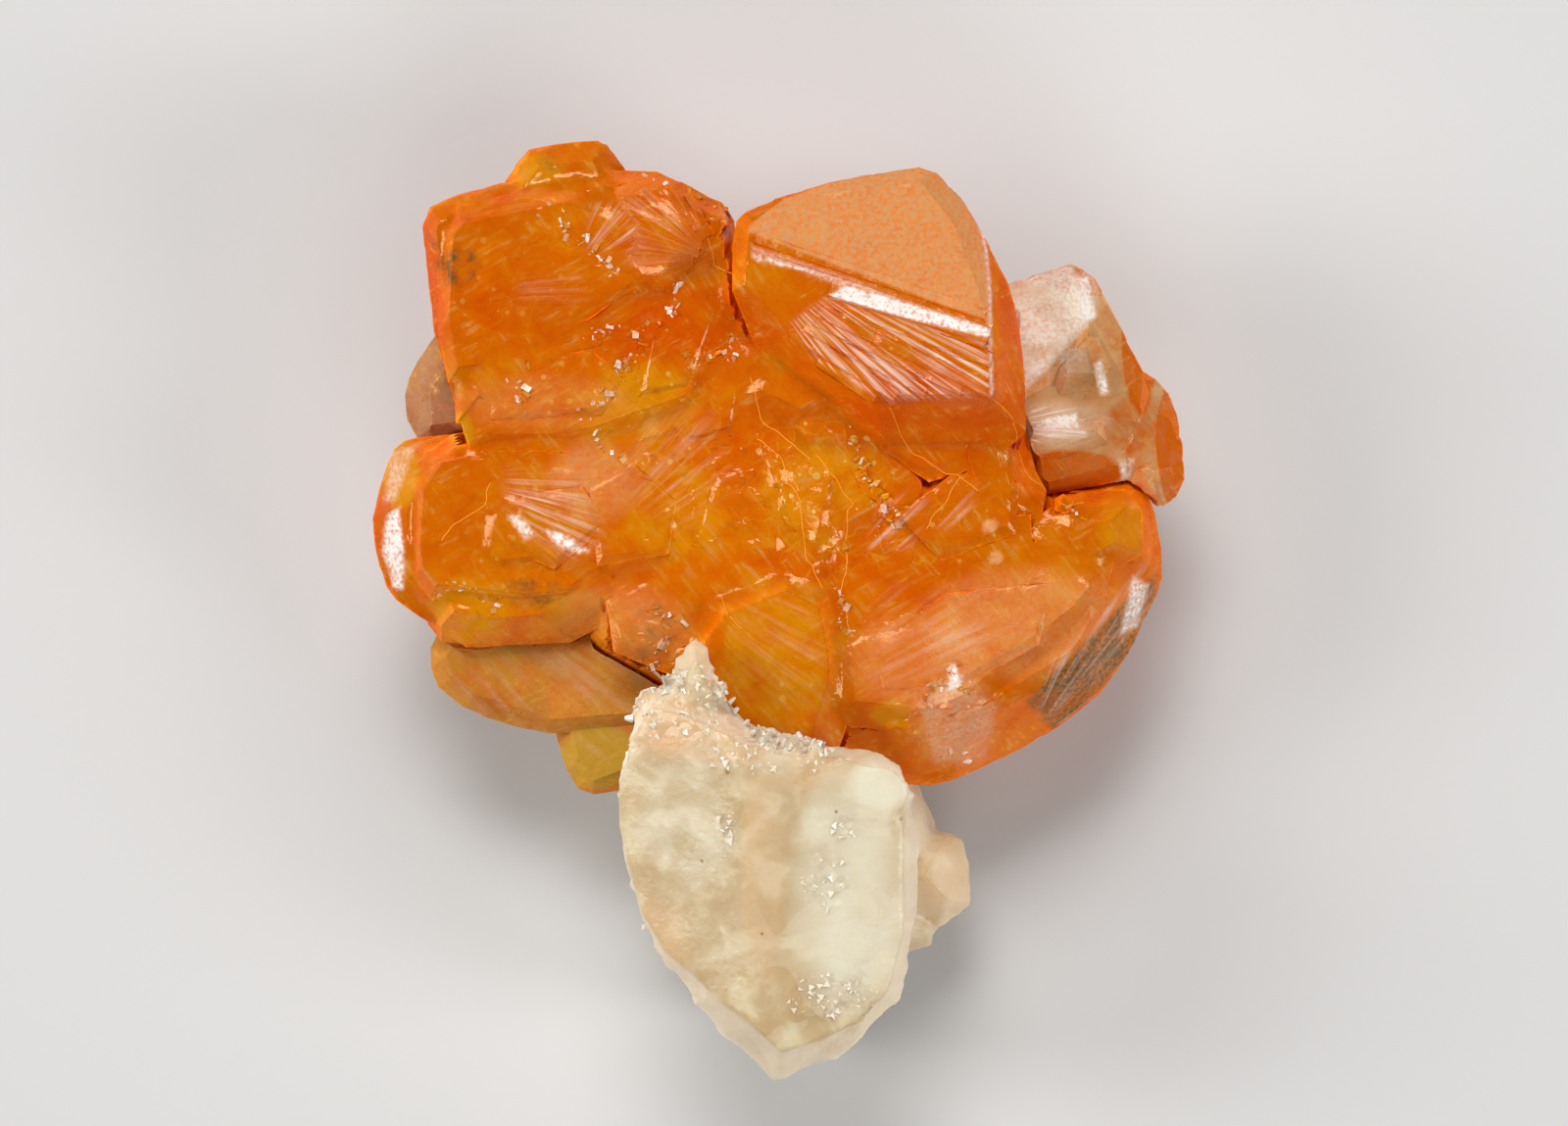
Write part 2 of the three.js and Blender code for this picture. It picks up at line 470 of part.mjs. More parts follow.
const calciteBlocks = [
  // the body, with a ridge down its front: its right face is its front, its left face a cut
  {
    outline: [[-8.3, -8.8], [-7.7, -6], [-6.8, -4.4], [-2.6, -4.9], [6.3, -7.6], [6.8, -8.8],
      [7.2, -11.2], [7.2, -14.8], [6.8, -17.5], [6.3, -19.6], [5.2, -20.9], [3.6, -22.3], [1.4, -23.4],
      [-0.3, -23.9], [-1.4, -22.9], [-2.6, -21.8], [-4.3, -19.9], [-6.1, -17.7], [-7.2, -15.5],
      [-7.9, -12.9], [-8.3, -10.8]],
    girdle: [13, 0, 0.17], front: [15.9, -0.16, 0.17], back: REST_LEVEL, lean: 20, undercut: 14, uneven: 7,
    cuts: [
      [[-0.5, -9, 17.6], [-0.4, -0.17, 0.9]],
      [[0, -12, 0], [0.08, -0.36, -0.93]],
      [[5.6, -10, 15.8], [0.62, 0.1, 0.78]],
      [[-6.6, -18, 5], [-0.7, -0.35, -0.6]],
      [[6, -19, 5], [0.6, -0.5, -0.62]],
    ],
  },
  // the pointed crystal at the top left, and the shoulder that it stands on
  {
    outline: [[-5.6, -4], [-5.4, -2.4], [-4.8, -1.5], [-4.2, -1.1], [-3.6, -1.6], [-3, -2.9], [-2.4, -4.6],
      [-4.8, -6]],
    girdle: 14.6, front: [16.1, 0.05, -0.1], back: 10, lean: 30,
  },
  {
    outline: [[-7.6, -5.6], [-7.2, -3.8], [-6.2, -3.4], [-2.8, -3.7], [-1.5, -5.1], [-0.9, -6.4],
      [-3.2, -8.4], [-6.6, -7.8]],
    girdle: 13.6, front: [15.8, 0.16, -0.03], back: 9, lean: 28,
  },
  // the crest at the top right
  {
    outline: [[0.4, -7.8], [0.7, -6.9], [2.6, -6.4], [3.4, -6.1], [4.6, -6.7], [6.1, -7], [6.8, -9],
      [6.2, -11], [1, -10]],
    girdle: 15, front: [17, -0.12, 0.1], back: 9, lean: 34,
  },
  // the lobe behind the right side, the strip above it, and the calcite behind the lower crystals
  {
    outline: [[4.6, -13.8], [7.2, -10.9], [9.1, -11.2], [9.5, -11.7], [9.9, -13.2], [10.1, -15.1],
      [8.3, -16.3], [6, -15.6]],
    girdle: 5, front: [8.8, -0.1, -0.05], back: 1.2, lean: 34, undercut: 24,
  },
  {
    outline: [[4.6, -13.4], [7.4, -14.4], [8.3, -15.8], [8.1, -17.3], [6.4, -17.7], [4.8, -17]],
    girdle: 4.6, front: [8, -0.12, 0.1], back: 1.4, lean: 34, undercut: 24,
  },
  {
    outline: [[4.6, -7], [7.6, -8.2], [8, -10.2], [8.8, -11.7], [8.2, -13.4], [4.6, -13.4]],
    girdle: 4.6, front: [8, -0.1, 0.05], back: 1.2, lean: 22, undercut: 24,
  },
  {
    outline: [[-6, -6], [-6, -1.8], [-3, 1], [3, 2], [6.6, -1.2], [7.4, -8], [6, -12], [-6, -12]],
    girdle: 4, front: 7, back: REST_LEVEL, lean: 40, undercut: 24,
  },
];

// Cleavage steps on the right front face of the body: the block at its top and the long, shallow step
// under it.
const calciteSteps = [
  stepOn(calciteBlocks[0], [[0.9, -8.4], [0.7, -10.3], [3.6, -10.7], [6.5, -10.1], [6.7, -8.6], [5.6, -7.6]],
    0.35, 60),
  stepOn(calciteBlocks[0], [[0.6, -11], [0.4, -21], [2.6, -21], [4.6, -17.6], [6, -13.4], [6.2, -11]],
    0.06, -70),
];

// Broken edges that carry a row of cleavage teeth.
const TOOTHED_EDGES = [
  [[-7.2, -5.4, 13.8], [-7, -4.2, 14], [-6.3, -3.7, 14.4], [-5.5, -3.4, 14.8]],
  [[-3, -3.8, 15.5], [-1.9, -5, 15.6], [-0.6, -6.2, 15.8], [0.8, -7, 16], [2.2, -6.9, 16.4],
    [3.3, -6.5, 16.4]],
  [[-7, -4.6, 13.9], [-7.3, -6.4, 13.6], [-7.8, -8.6, 13.3], [-7.9, -10.6, 13], [-7.5, -12.8, 12.7],
    [-6.8, -15.4, 12.3], [-5.8, -17.5, 12], [-4, -19.6, 11.7], [-2.5, -21.3, 11.4], [-1.2, -22.7, 11.2]],
  [[1, -23, 11.2], [3.4, -21.9, 11.4], [4.9, -20.6, 11.6], [5.9, -19.4, 11.8]],
];

function cleavageTeeth() {
  const random = seeded(11);
  return TOOTHED_EDGES.flatMap((route) => strewAlong(route, 0.8, 0.35, random, (at) =>
    tooth(at, TOOTH_SIZE * (0.55 + random() * 0.7), random)));
}

// Cleavage blocks that stand out of the body's broken sides, row above row, each one sunk in its side.
// None of them reaches past the body's outline.
const BLOCK_ROWS = [2.4, 5, 7.6];
const BLOCK_SIZE = 2;
const BLOCK_SINK = 0.9;

function cleavageBlocks({ outline, girdle, undercut, lean }) {
  const random = seeded(23);
  const middle = middleOf(outline);
  const upright = { outline, girdle: 9, front: 17, back: REST_LEVEL, lean: 0, undercut: 0, uneven: 0 };
  const bounds = crystal(upright);
  return BLOCK_ROWS.flatMap((z) => {
    const below = girdle[0] - z;
    const inset = Math.abs(below) * Math.tan(THREE.MathUtils.degToRad(below > 0 ? undercut : lean));
    const ring = outline.map(([x, y]) => {
      const out = new THREE.Vector2(x - middle.x, y - middle.y);
      out.setLength(Math.max(1, out.length() - inset - BLOCK_SINK));
      return [middle.x + out.x, middle.y + out.y, z];
    });
    return strewAlong([...ring, ring[0]], BLOCK_SIZE, 0.8, random, (at) =>
      tooth(at, BLOCK_SIZE * (0.7 + random() * 0.5), random, 0.5).intersect(bounds));
  });
}

const calcite = beside(
  join([
    ...[...calciteBlocks, ...calciteSteps].map((spec) => crystal(spec)),
    ...cleavageTeeth(),
    ...cleavageBlocks(calciteBlocks[0]),
  ]),
  [...grownTogether, ...growthSteps, ...lowerLeftPlates]);

// ---- the nodes ----

function node(name, solid, colour, roughness) {
  const material = new THREE.MeshStandardMaterial({ color: colour, roughness, metalness: 0 });
  const mesh = new THREE.Mesh(toGeometry(solid), material);
  mesh.name = name;
  return mesh;
}

const grown = (specs) => join(specs.map((spec) => crystal(spec)));

const ORANGE = 0xdc6405;
const PEACH = 0xd9a877;
const SMOKE = 0xb98a68;
const FROSTED_ORANGE = 0xc87d32;
const CREAM = 0xe1d2b9;

const group = new THREE.Group();
group.add(node('main_cluster', mainCluster, ORANGE, 0.12));
group.add(node('right_crystals', beside(grown(rightCrystals), grownTogether), PEACH, 0.25));
group.add(node('smoky_crystal', beside(crystal(smokyCrystal), grownTogether), SMOKE, 0.3));
group.add(node('lower_left_crystal', beside(grown(lowerLeftPlates), grownTogether), FROSTED_ORANGE, 0.35));
group.add(node('calcite_matrix', calcite, CREAM, 0.5));

// The origin is the middle of the specimen's footprint box, on the surface that it lies on.
const box = new THREE.Box3().setFromObject(group);
const centre = box.getCenter(new THREE.Vector3());
group.position.set(-centre.x, -centre.y, -box.min.z);

export default group;
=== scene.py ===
# %% [markdown]
# # Wulfenite on calcite
# A loose specimen, about 48 mm long: flat, square-edged orange wulfenite crystals that have grown through
# each other, on a cream block of calcite that narrows to a point. It lies on its back, so the camera looks
# straight down on it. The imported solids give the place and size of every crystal. This file gives them
# their real surface: growth relief, ribs, worn edges, cloudy insides, frost and cleavage sparkle.

# %% Load the frame
import itertools
import math

import bmesh
import bpy
import numpy as np
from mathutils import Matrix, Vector
from mathutils.bvhtree import BVHTree
from mathutils.kdtree import KDTree


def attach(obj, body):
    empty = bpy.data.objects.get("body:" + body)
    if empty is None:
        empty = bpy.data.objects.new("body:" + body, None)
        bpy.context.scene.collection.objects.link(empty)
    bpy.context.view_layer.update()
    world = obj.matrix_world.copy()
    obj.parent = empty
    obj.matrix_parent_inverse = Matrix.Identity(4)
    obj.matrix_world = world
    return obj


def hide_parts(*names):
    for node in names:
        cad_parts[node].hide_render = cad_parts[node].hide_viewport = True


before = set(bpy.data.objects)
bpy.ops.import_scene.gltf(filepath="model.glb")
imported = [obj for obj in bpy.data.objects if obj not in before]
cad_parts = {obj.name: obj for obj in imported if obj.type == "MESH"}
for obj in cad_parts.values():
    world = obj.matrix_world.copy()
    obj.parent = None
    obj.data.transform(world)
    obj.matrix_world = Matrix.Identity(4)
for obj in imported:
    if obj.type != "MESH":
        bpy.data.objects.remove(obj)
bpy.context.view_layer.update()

MM = 0.001
scene = bpy.context.scene
print("nodes:", sorted(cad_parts))

# %% [markdown]
# ## The camera
# A mineral portrait is taken with a long lens from far away, so that near and far crystals keep their true
# proportions. The specimen lies on its back: the camera hangs above it and looks down, with the upper end of
# the specimen at the top of the picture.

# %% Hang the camera
LENS = 250
SENSOR = 36
VIEW_WIDTH = 80 * MM
VIEW_MIDDLE = Vector((0.25, 2.475, 9)) * MM


def add_object(name, data):
    piece = bpy.data.objects.new(name, data)
    scene.collection.objects.link(piece)
    return piece


camera = add_object("camera", bpy.data.cameras.new("camera"))
camera.data.lens = LENS
camera.data.sensor_width = SENSOR
camera.data.clip_end = 10
camera.location = VIEW_MIDDLE + Vector((0, 0, VIEW_WIDTH * LENS / SENSOR))
scene.camera = camera
print("camera height:", round(camera.location.z, 3), "m")

# %% [markdown]
# ## Shader and geometry trees
# Blender's nodes are built in code here. `add` makes one node: plain arguments fill its sockets in order,
# named ones fill the socket of that name, and `settings` are its menus. Small helpers cover the nodes that
# come up again and again.

# %% Node helpers


def fill(tree, socket, value):
    if isinstance(value, bpy.types.NodeSocket):
        tree.links.new(value, socket)
    else:
        socket.default_value = value


def add(tree, kind, *values, settings=None, **named):
    made = tree.nodes.new(kind)
    for name, value in (settings or {}).items():
        setattr(made, name, value)
    for socket, value in zip(made.inputs, values):
        fill(tree, socket, value)
    for name, value in named.items():
        fill(tree, made.inputs[name.replace("_", " ")], value)
    return made


def maths(tree, operation, *values):
    return add(tree, "ShaderNodeMath", *values, settings={"operation": operation}).outputs[0]


def times(tree, first, second, plus=None):
    """first x second, plus a third value where one is given."""
    if plus is None:
        return maths(tree, "MULTIPLY", first, second)
    return maths(tree, "MULTIPLY_ADD", first, second, plus)


def ramp(tree, factor, stops):
    made = add(tree, "ShaderNodeValToRGB", factor)
    points = made.color_ramp.elements
    while len(points) < len(stops):
        points.new(0.5)
    for point, (position, colour) in zip(points, stops):
        point.position = position
        point.color = (*colour, 1)
    return made.outputs[0]


def blend(tree, factor, first, second):
    made = add(tree, "ShaderNodeMix", factor, settings={"data_type": "RGBA"})
    for socket, colour in zip(made.inputs[6:8], (first, second)):
        fill(tree, socket, colour if isinstance(colour, bpy.types.NodeSocket) else (*colour, 1))
    return made.outputs[2]


def scaled(tree, low, high, factor, start=0.0, end=1.0):
    """Runs from low to high while the factor runs from start to end."""
    return add(tree, "ShaderNodeMapRange", factor, start, end, low, high).outputs[0]


def painted(tree, name):
    return add(tree, "ShaderNodeAttribute", settings={"attribute_name": name}).outputs["Fac"]


def noise_texture(tree, place, scale, detail, distortion=0.0, stretch=(1, 1, 1)):
    spot = add(tree, "ShaderNodeMapping", place, Scale=stretch).outputs[0]
    return add(tree, "ShaderNodeTexNoise", Vector=spot, Scale=scale, Detail=detail,
               Distortion=distortion).outputs[0]


def vector_maths(tree, operation, *values):
    made = add(tree, "ShaderNodeVectorMath", *values, settings={"operation": operation})
    return made.outputs["Value" if operation == "DOT_PRODUCT" else "Vector"]


def warped(tree, place, scale, reach):
    """The place pushed about by soft noise, so that lines and bands through it run unevenly."""
    push = add(tree, "ShaderNodeTexNoise", Vector=place, Scale=scale, Detail=2.0).outputs["Color"]
    return vector_maths(tree, "MULTIPLY_ADD", push, (reach, reach, reach), place)


def cells(tree, place, scale, feature="F1"):
    return add(tree, "ShaderNodeTexVoronoi", Vector=place, Scale=scale, settings={"feature": feature}).outputs


def net(tree, place, scale, width):
    """Thin lines, `width` mm wide, along the borders of irregular cells."""
    edge = cells(tree, place, scale, "DISTANCE_TO_EDGE")["Distance"]
    return scaled(tree, 1.0, 0.0, edge, 0.0, width * scale)


def facets(tree, place, scale):
    """The height in mm of small flat facets, each tilted its own way, and the cells they come from."""
    cell = cells(tree, place, scale)
    away = vector_maths(tree, "SUBTRACT", place, cell["Position"])
    lean = vector_maths(tree, "SUBTRACT", cell["Color"], (0.5, 0.5, 0.5))
    return vector_maths(tree, "DOT_PRODUCT", away, lean), cell


# %% [markdown]
# ## The studio
# The floor is plain and pale. The key softbox hangs beyond the specimen's upper end, so that every facet
# tilted that way by about 20 degrees flashes white. Two more stand left and right for the bevels, and a dim
# one beyond the lower end lights what the key leaves dark, but shows in no facet. Straight above, where the
# camera is, it stays dark, so that level faces show their own colour.

# %% Floor, softboxes and sky
SOFTBOX_DISTANCE = 0.5
BEAM = math.radians(22)
FLOOR_DROP = 0.02 * MM


def finish_surface(tree, surface, colour, roughness, height):
    """Colour, roughness and a bump with its height in mm."""
    bump = add(tree, "ShaderNodeBump", Strength=1.0, Distance=MM, Height=height)
    for socket, value in (("Base Color", colour), ("Roughness", roughness), ("Normal", bump.outputs[0])):
        fill(tree, surface.inputs[socket], value)


def new_finish(name, **settings):
    """A material with some of its shader's sockets set, its node tree and its shader."""
    material = bpy.data.materials.new(name)
    material.use_nodes = True
    tree = material.node_tree
    surface = tree.nodes["Principled BSDF"]
    for socket, value in settings.items():
        surface.inputs[socket.replace("_", " ")].default_value = value
    return material, tree, surface


def plain_finish(name, colour, roughness, **settings):
    return new_finish(name, Base_Color=(*colour, 1), Roughness=roughness, **settings)[0]


def softbox(name, towards, width, height, radiance):
    direction = Vector(towards).normalized()
    light = bpy.data.lights.new(name, "AREA")
    light.shape = "RECTANGLE"
    light.size = width
    light.size_y = height
    light.spread = 2 * BEAM
    light.energy = radiance * math.pi * width * height * (1 - BEAM / math.tan(BEAM))
    lamp = add_object(name, light)
    lamp.location = VIEW_MIDDLE + direction * SOFTBOX_DISTANCE
    lamp.rotation_mode = "QUATERNION"
    lamp.rotation_quaternion = direction.to_track_quat("Z", "Y")
    return lamp


ground = bmesh.new()
bmesh.ops.create_grid(ground, x_segments=1, y_segments=1, size=1.5)
bmesh.ops.translate(ground, verts=ground.verts, vec=(0, 0, -FLOOR_DROP))
floor_mesh = bpy.data.meshes.new("floor")
ground.to_mesh(floor_mesh)
floor = add_object("floor", floor_mesh)
floor_mesh.materials.append(plain_finish("pale_floor", (0.6, 0.59, 0.58), 0.8))

softbox("key", (-0.1, 0.63, 0.77), 0.3, 0.2, 20)
softbox("left_fill", (-0.85, 0.1, 0.5), 0.2, 0.24, 17)
softbox("right_fill", (0.85, -0.25, 0.5), 0.15, 0.26, 16)
lower_fill = softbox("lower_fill", (0.1, -0.8, 0.6), 0.5, 0.3, 6)
lower_fill.visible_glossy = False
scene.world = bpy.data.worlds.new("studio")
scene.world.use_nodes = True
sky = scene.world.node_tree.nodes["Background"]
sky.inputs["Color"].default_value = (1, 0.98, 0.95, 1)
sky.inputs["Strength"].default_value = 0.04
scene.view_settings.view_transform = "Standard"
scene.cycles.max_bounces = 3
scene.cycles.diffuse_bounces = 2
scene.cycles.glossy_bounces = 2
scene.cycles.transmission_bounces = 2
scene.cycles.caustics_reflective = False

# %% [markdown]
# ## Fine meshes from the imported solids
# A packed crystal is a solid with flat facets and few triangles. For relief it needs many small ones, most of
# all where it shows. A voxel remesh would round its edges off, so each long edge is cut in half until none is
# longer than its place allows: the facets stay flat and the edges sharp.

# %% Cut long edges in half


def merged_triangles(node):
    """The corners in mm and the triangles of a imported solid, with its loose triangles joined up."""
    shape = bmesh.new()
    shape.from_mesh(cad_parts[node].data)
    bmesh.ops.remove_doubles(shape, verts=shape.verts, dist=0.0002 * MM)
    bmesh.ops.dissolve_limit(shape, angle_limit=math.radians(0.3), verts=shape.verts, edges=shape.edges)
    bmesh.ops.triangulate(shape, faces=shape.faces, ngon_method="BEAUTY")
    corners = np.array([corner.co for corner in shape.verts]) / MM
    shape.verts.index_update()
    faces = np.array([[corner.index for corner in face.verts] for face in shape.faces])
    loose = sum(not edge.is_manifold for edge in shape.edges)
    print(node, "has", len(faces), "triangles and", loose, "open edges")
    shape.free()
    return corners, faces


def split_faces(faces, middles):
    """Splits triangles at the middles of their edges 0-1, 1-2 and 2-0, where a middle of -1 is no cut."""
    cuts = (middles >= 0).sum(axis=1)
    parts = [faces[cuts == 0]]
    for count in (1, 2, 3):
        rows = np.flatnonzero(cuts == count)
        wanted = middles[rows] >= 0 if count == 1 else middles[rows] < 0
        first = wanted.argmax(axis=1) if count < 3 else np.zeros(len(rows), int)
        turn = (first[:, None] + (1 if count == 2 else 0) + np.arange(3)) % 3
        a, b, c = np.take_along_axis(faces[rows], turn, axis=1).T
        ab, bc, ca = np.take_along_axis(middles[rows], turn, axis=1).T
        if count == 1:
            made = [(a, ab, c), (ab, b, c)]
        elif count == 2:
            made = [(ab, b, bc), (a, ab, bc), (a, bc, c)]
        else:
            made = [(a, ab, ca), (ab, b, bc), (ca, bc, c), (ab, bc, ca)]
        parts += [np.stack(triangle, axis=1) for triangle in made]
    return np.concatenate(parts)


def refine(corners, faces, longest):
    """Cuts every edge in half that is longer than longest(its middle), until none is."""
    while True:
        ends = np.sort(faces[:, [[0, 1], [1, 2], [2, 0]]].reshape(-1, 2), axis=1)
        _, first, which = np.unique(ends[:, 0] * len(corners) + ends[:, 1],
                                    return_index=True, return_inverse=True)
        pairs = corners[ends[first]]
        middle = pairs.mean(axis=1)
        long = np.linalg.norm(pairs[:, 0] - pairs[:, 1], axis=1) > longest(middle)
        if not long.any():
            return corners, faces
        number = np.full(len(middle), -1)
        number[long] = len(corners) + np.arange(long.sum())
        corners = np.vstack([corners, middle[long]])
        faces = split_faces(faces, number[which].reshape(-1, 3))


def crossed(corners, faces):
    """The face normals, as long as twice the area of the face."""
    a, b, c = (corners[faces[:, k]] for k in range(3))
    return np.cross(b - a, c - a)


def unit(vectors):
    return vectors / np.maximum(np.linalg.norm(vectors, axis=1), 1e-12)[:, None]


def normals_of(corners, faces):
    """The corner normals."""
    flat = crossed(corners, faces)
    total = np.zeros_like(corners)
    for k in range(3):
        np.add.at(total, faces[:, k], flat)
    return unit(total)


def turned_up(normals, gain, less):
    """From 0 on steep faces to 1 on level ones."""
    return np.clip(normals[:, 2] * gain - less, 0, 1)


def fine_at_front(fine, coarse, low, high):
    """Edge lengths that shrink from `coarse` under the height `low` to `fine` above `high`."""
    return lambda middle: np.interp(middle[:, 2], (low, high), (coarse, fine))


# %% [markdown]
# ## Relief from seeded noise
# Two kinds of relief are enough for crystal faces. Soft noise gives slow waves, and a mosaic of small flat
# facets, each tilted by a degree or more, gives the slightly broken look of real growth faces and cleavage.
# Both come from a hash of the place, so they are the same on every run.

# %% Noise and mosaic


def lottery(homes, seed):
    """The same number from -1 to 1 for the same cell every time."""
    mixed = homes.astype(np.int64) @ np.array([73856093, 19349663, 83492791]) + seed * 265443576
    mixed = (mixed ^ (mixed >> 13)) * 1274126177
    return ((mixed ^ (mixed >> 16)) & 0xFFFF) / 0x8000 - 1


def waves(points, size, seed):
    """Smooth noise from -1 to 1 with hills about `size` mm across."""
    grid = points / size
    low = np.floor(grid)
    share = grid - low
    share = share * share * (3 - 2 * share)
    total = np.zeros(len(points))
    for corner in itertools.product((0, 1), repeat=3):
        weight = np.prod(np.where(corner, share, 1 - share), axis=1)
        total += weight * lottery(low + corner, seed)
    return total


def mosaic(points, size, tilt, seed):
    """Heights in mm of flat facets about `size` mm across, each tilted by up to `tilt` degrees."""
    home = np.floor(points / size)
    nearest = np.full(len(points), np.inf)
    height = np.zeros(len(points))
    for step in itertools.product((-1, 0, 1), repeat=3):
        cell = home + step
        shift = np.stack([lottery(cell, seed + k) for k in range(3)], axis=1)
        away = points - (cell + 0.5 + 0.4 * shift) * size
        distance = (away**2).sum(axis=1)
        lean = np.stack([lottery(cell, seed + k) for k in range(3, 6)], axis=1) * math.tan(math.radians(tilt))
        height = np.where(distance < nearest, (away * lean).sum(axis=1), height)
        nearest = np.minimum(nearest, distance)
    return height


def spots(points, rows):
    """How much each point lies in round patches of (x, y, radius along X, along Y, strength), in mm."""
    total = np.zeros(len(points))
    for x, y, radius_x, radius_y, strength in rows:
        away = np.hypot((points[:, 0] - x) / radius_x, (points[:, 1] - y) / radius_y)
        total += strength * np.clip(1.6 - 1.6 * away**2, 0, 1)
    return total


def patch(points, outline, soft=0.25):
    """How far each point lies inside a convex outline, from 0 at its edge to 1 `soft` mm inside it."""
    outline = np.array(outline)
    ahead = np.roll(outline, -1, axis=0) - outline
    ahead /= np.linalg.norm(ahead, axis=1)[:, None]
    inward = np.stack([-ahead[:, 1], ahead[:, 0]], axis=1)
    inward *= np.sign(((outline.mean(axis=0) - outline) * inward).sum(axis=1))[:, None]
    depth = ((points[:, None, :2] - outline) * inward).sum(axis=2).min(axis=1)
    return np.clip(depth / soft, 0, 1)


def along(points, routes, width):
    """How near each point is to a broken line, from 1 on it to 0 `width` mm away."""
    nearest = np.full(len(points), np.inf)
    for route in routes:
        for start, end in itertools.pairwise(np.array(route)):
            ahead = end - start
            share = np.clip((points[:, :2] - start) @ ahead / (ahead @ ahead), 0, 1)
            away = points[:, :2] - start - share[:, None] * ahead
            nearest = np.minimum(nearest, np.hypot(away[:, 0], away[:, 1]))
    return np.clip(1 - nearest / width, 0, 1)


def combed(points, rows):
    """Fine lines that fan out from a point: across them, along them and their strength at every point.

    Each row has the outline, how soft it is in mm, the point that the lines come from, how many there are per
    radian and how strong they are.
    """
    across, reach, total = (np.zeros(len(points)) for _ in range(3))
    worn = 0.8 + 0.5 * waves(points, 0.9, 38)
    for outline, soft, origin, count, strength in rows:
        inside = patch(points, outline, soft) * strength * (worn if soft > 0.3 else 1)
        away = points[:, :2] - origin
        chosen = inside > total
        across[chosen] = (np.arctan2(away[:, 1], away[:, 0]) * count)[chosen]
        reach[chosen] = np.hypot(away[:, 0], away[:, 1])[chosen]
        total = np.maximum(total, inside)
    return {"across": across, "reach": reach, "combed": total}


# %% [markdown]
# ## Grown together
# Crystals that grow through each other leave no deep gaps: the last growth closes the narrow valleys between
# them. The front of the solid is read as heights over a grid, the valleys narrower than a few millimetres are
# closed, and the corners that lie in them are lifted.

# %% Close the narrow valleys
GRID = 0.3
MARGIN = 3
SPARE_CELLS = 10
VALLEY_REACH = 4
SINK = 0.1
HIGHEST_STEP = 2.2


def sliding(values, reach, pick):
    """The greatest, least or mean value within `reach` cells of every cell."""
    for axis in (0, 1):
        padded = np.pad(values, [(reach, reach) if axis == k else (0, 0) for k in (0, 1)], mode="edge")
        views = np.lib.stride_tricks.sliding_window_view(padded, 2 * reach + 1, axis=axis)
        values = pick(views, axis=-1)
    return values


def height_map(corners):
    """The greatest height in every cell of a grid, and where each corner lies on the grid."""
    place = (corners[:, :2] - corners[:, :2].min(axis=0) + MARGIN) / GRID
    top = np.zeros(np.ceil(place.max(axis=0)).astype(int) + SPARE_CELLS)
    np.maximum.at(top, tuple(np.floor(place).astype(int).T), corners[:, 2])
    return sliding(sliding(top, 1, np.max), 1, np.min), place - 0.5


def read_map(grid, place):
    low = np.floor(place).astype(int)
    share = place - low
    total = np.zeros(len(place))
    for step in itertools.product((0, 1), repeat=2):
        total += np.prod(np.where(step, share, 1 - share), axis=1) * grid[tuple((low + step).T)]
    return total


def in_front(corners, top, place):
    """1 for corners on the front, fading to 0 for those that lie 1.6 mm under it."""
    return np.clip((corners[:, 2] - read_map(top, place) + 1.6) / 0.8, 0, 1)


def close_valleys(corners, normals, reach, share):
    """Valleys up to twice `reach` cells wide, filled by a share of their depth."""
    top, place = height_map(corners)
    closed = sliding(sliding(top, reach, np.max), reach, np.min)
    closed = sliding(sliding(closed, 1, np.mean), 1, np.mean)
    visible = in_front(corners, top, place) * (normals[:, 2] > 0.1)
    lifted = corners.copy()
    lifted[:, 2] += share * visible * np.maximum(read_map(closed, place) - SINK - corners[:, 2], 0)
    print("valleys lifted by up to", round(float((lifted - corners)[:, 2].max()), 2), "mm")
    return lifted


def levelled(corners, reach, share):
    """Low steps on the front, drawn towards its mean height within `reach` cells into a soft slope.

    Where the front drops by more than HIGHEST_STEP mm nearby, it stays as it is.
    """
    top, place = height_map(corners)
    drop = top - sliding(top, reach + 1, np.min)
    share = share * read_map(np.clip(HIGHEST_STEP - drop, 0, 1), place)
    share = share * in_front(corners, top, place)
    moved = corners.copy()
    moved[:, 2] += share * (read_map(sliding(top, reach, np.mean), place) - SINK - corners[:, 2])
    return moved


# %% [markdown]
# ## Worn edges
# Wulfenite is brittle. Its sharp edges are nicked all along, and the nicks sparkle. The distance of every
# point from the nearest outer edge of the solid tells where to wear it down.

# %% Distance from the edges
EDGE_ANGLE = 25
EDGE_STEP = 0.3


def edge_points(corners, faces, inner=False):
    """Points every EDGE_STEP mm along the solid's sharp outer edges, or along the valleys between crystals."""
    flat = unit(crossed(corners, faces))
    centre = corners[faces].mean(axis=1)
    ends = np.sort(faces[:, [[0, 1], [1, 2], [2, 0]]].reshape(-1, 2), axis=1)
    order = np.lexsort((ends[:, 1], ends[:, 0]))
    owner = order // 3
    ends = ends[order]
    same = np.flatnonzero((ends[1:] == ends[:-1]).all(axis=1))
    left, right = owner[same], owner[same + 1]
    bend = (flat[left] * flat[right]).sum(axis=1)
    outward = ((centre[right] - centre[left]) * flat[left]).sum(axis=1) < 0
    chosen = same[(bend < math.cos(math.radians(EDGE_ANGLE))) & (outward != inner)]
    points = []
    for start, end in corners[ends[chosen]]:
        count = max(1, int(np.linalg.norm(end - start) / EDGE_STEP))
        points += [start + (end - start) * (k + 0.5) / count for k in range(count)]
    return points


def distance_to(marks):
    """A function that gives every point's distance from the nearest mark."""
    tree = KDTree(len(marks))
    for number, mark in enumerate(marks):
        tree.insert(mark, number)
    tree.balance()
    return lambda points: np.array([tree.find(point)[2] for point in points])


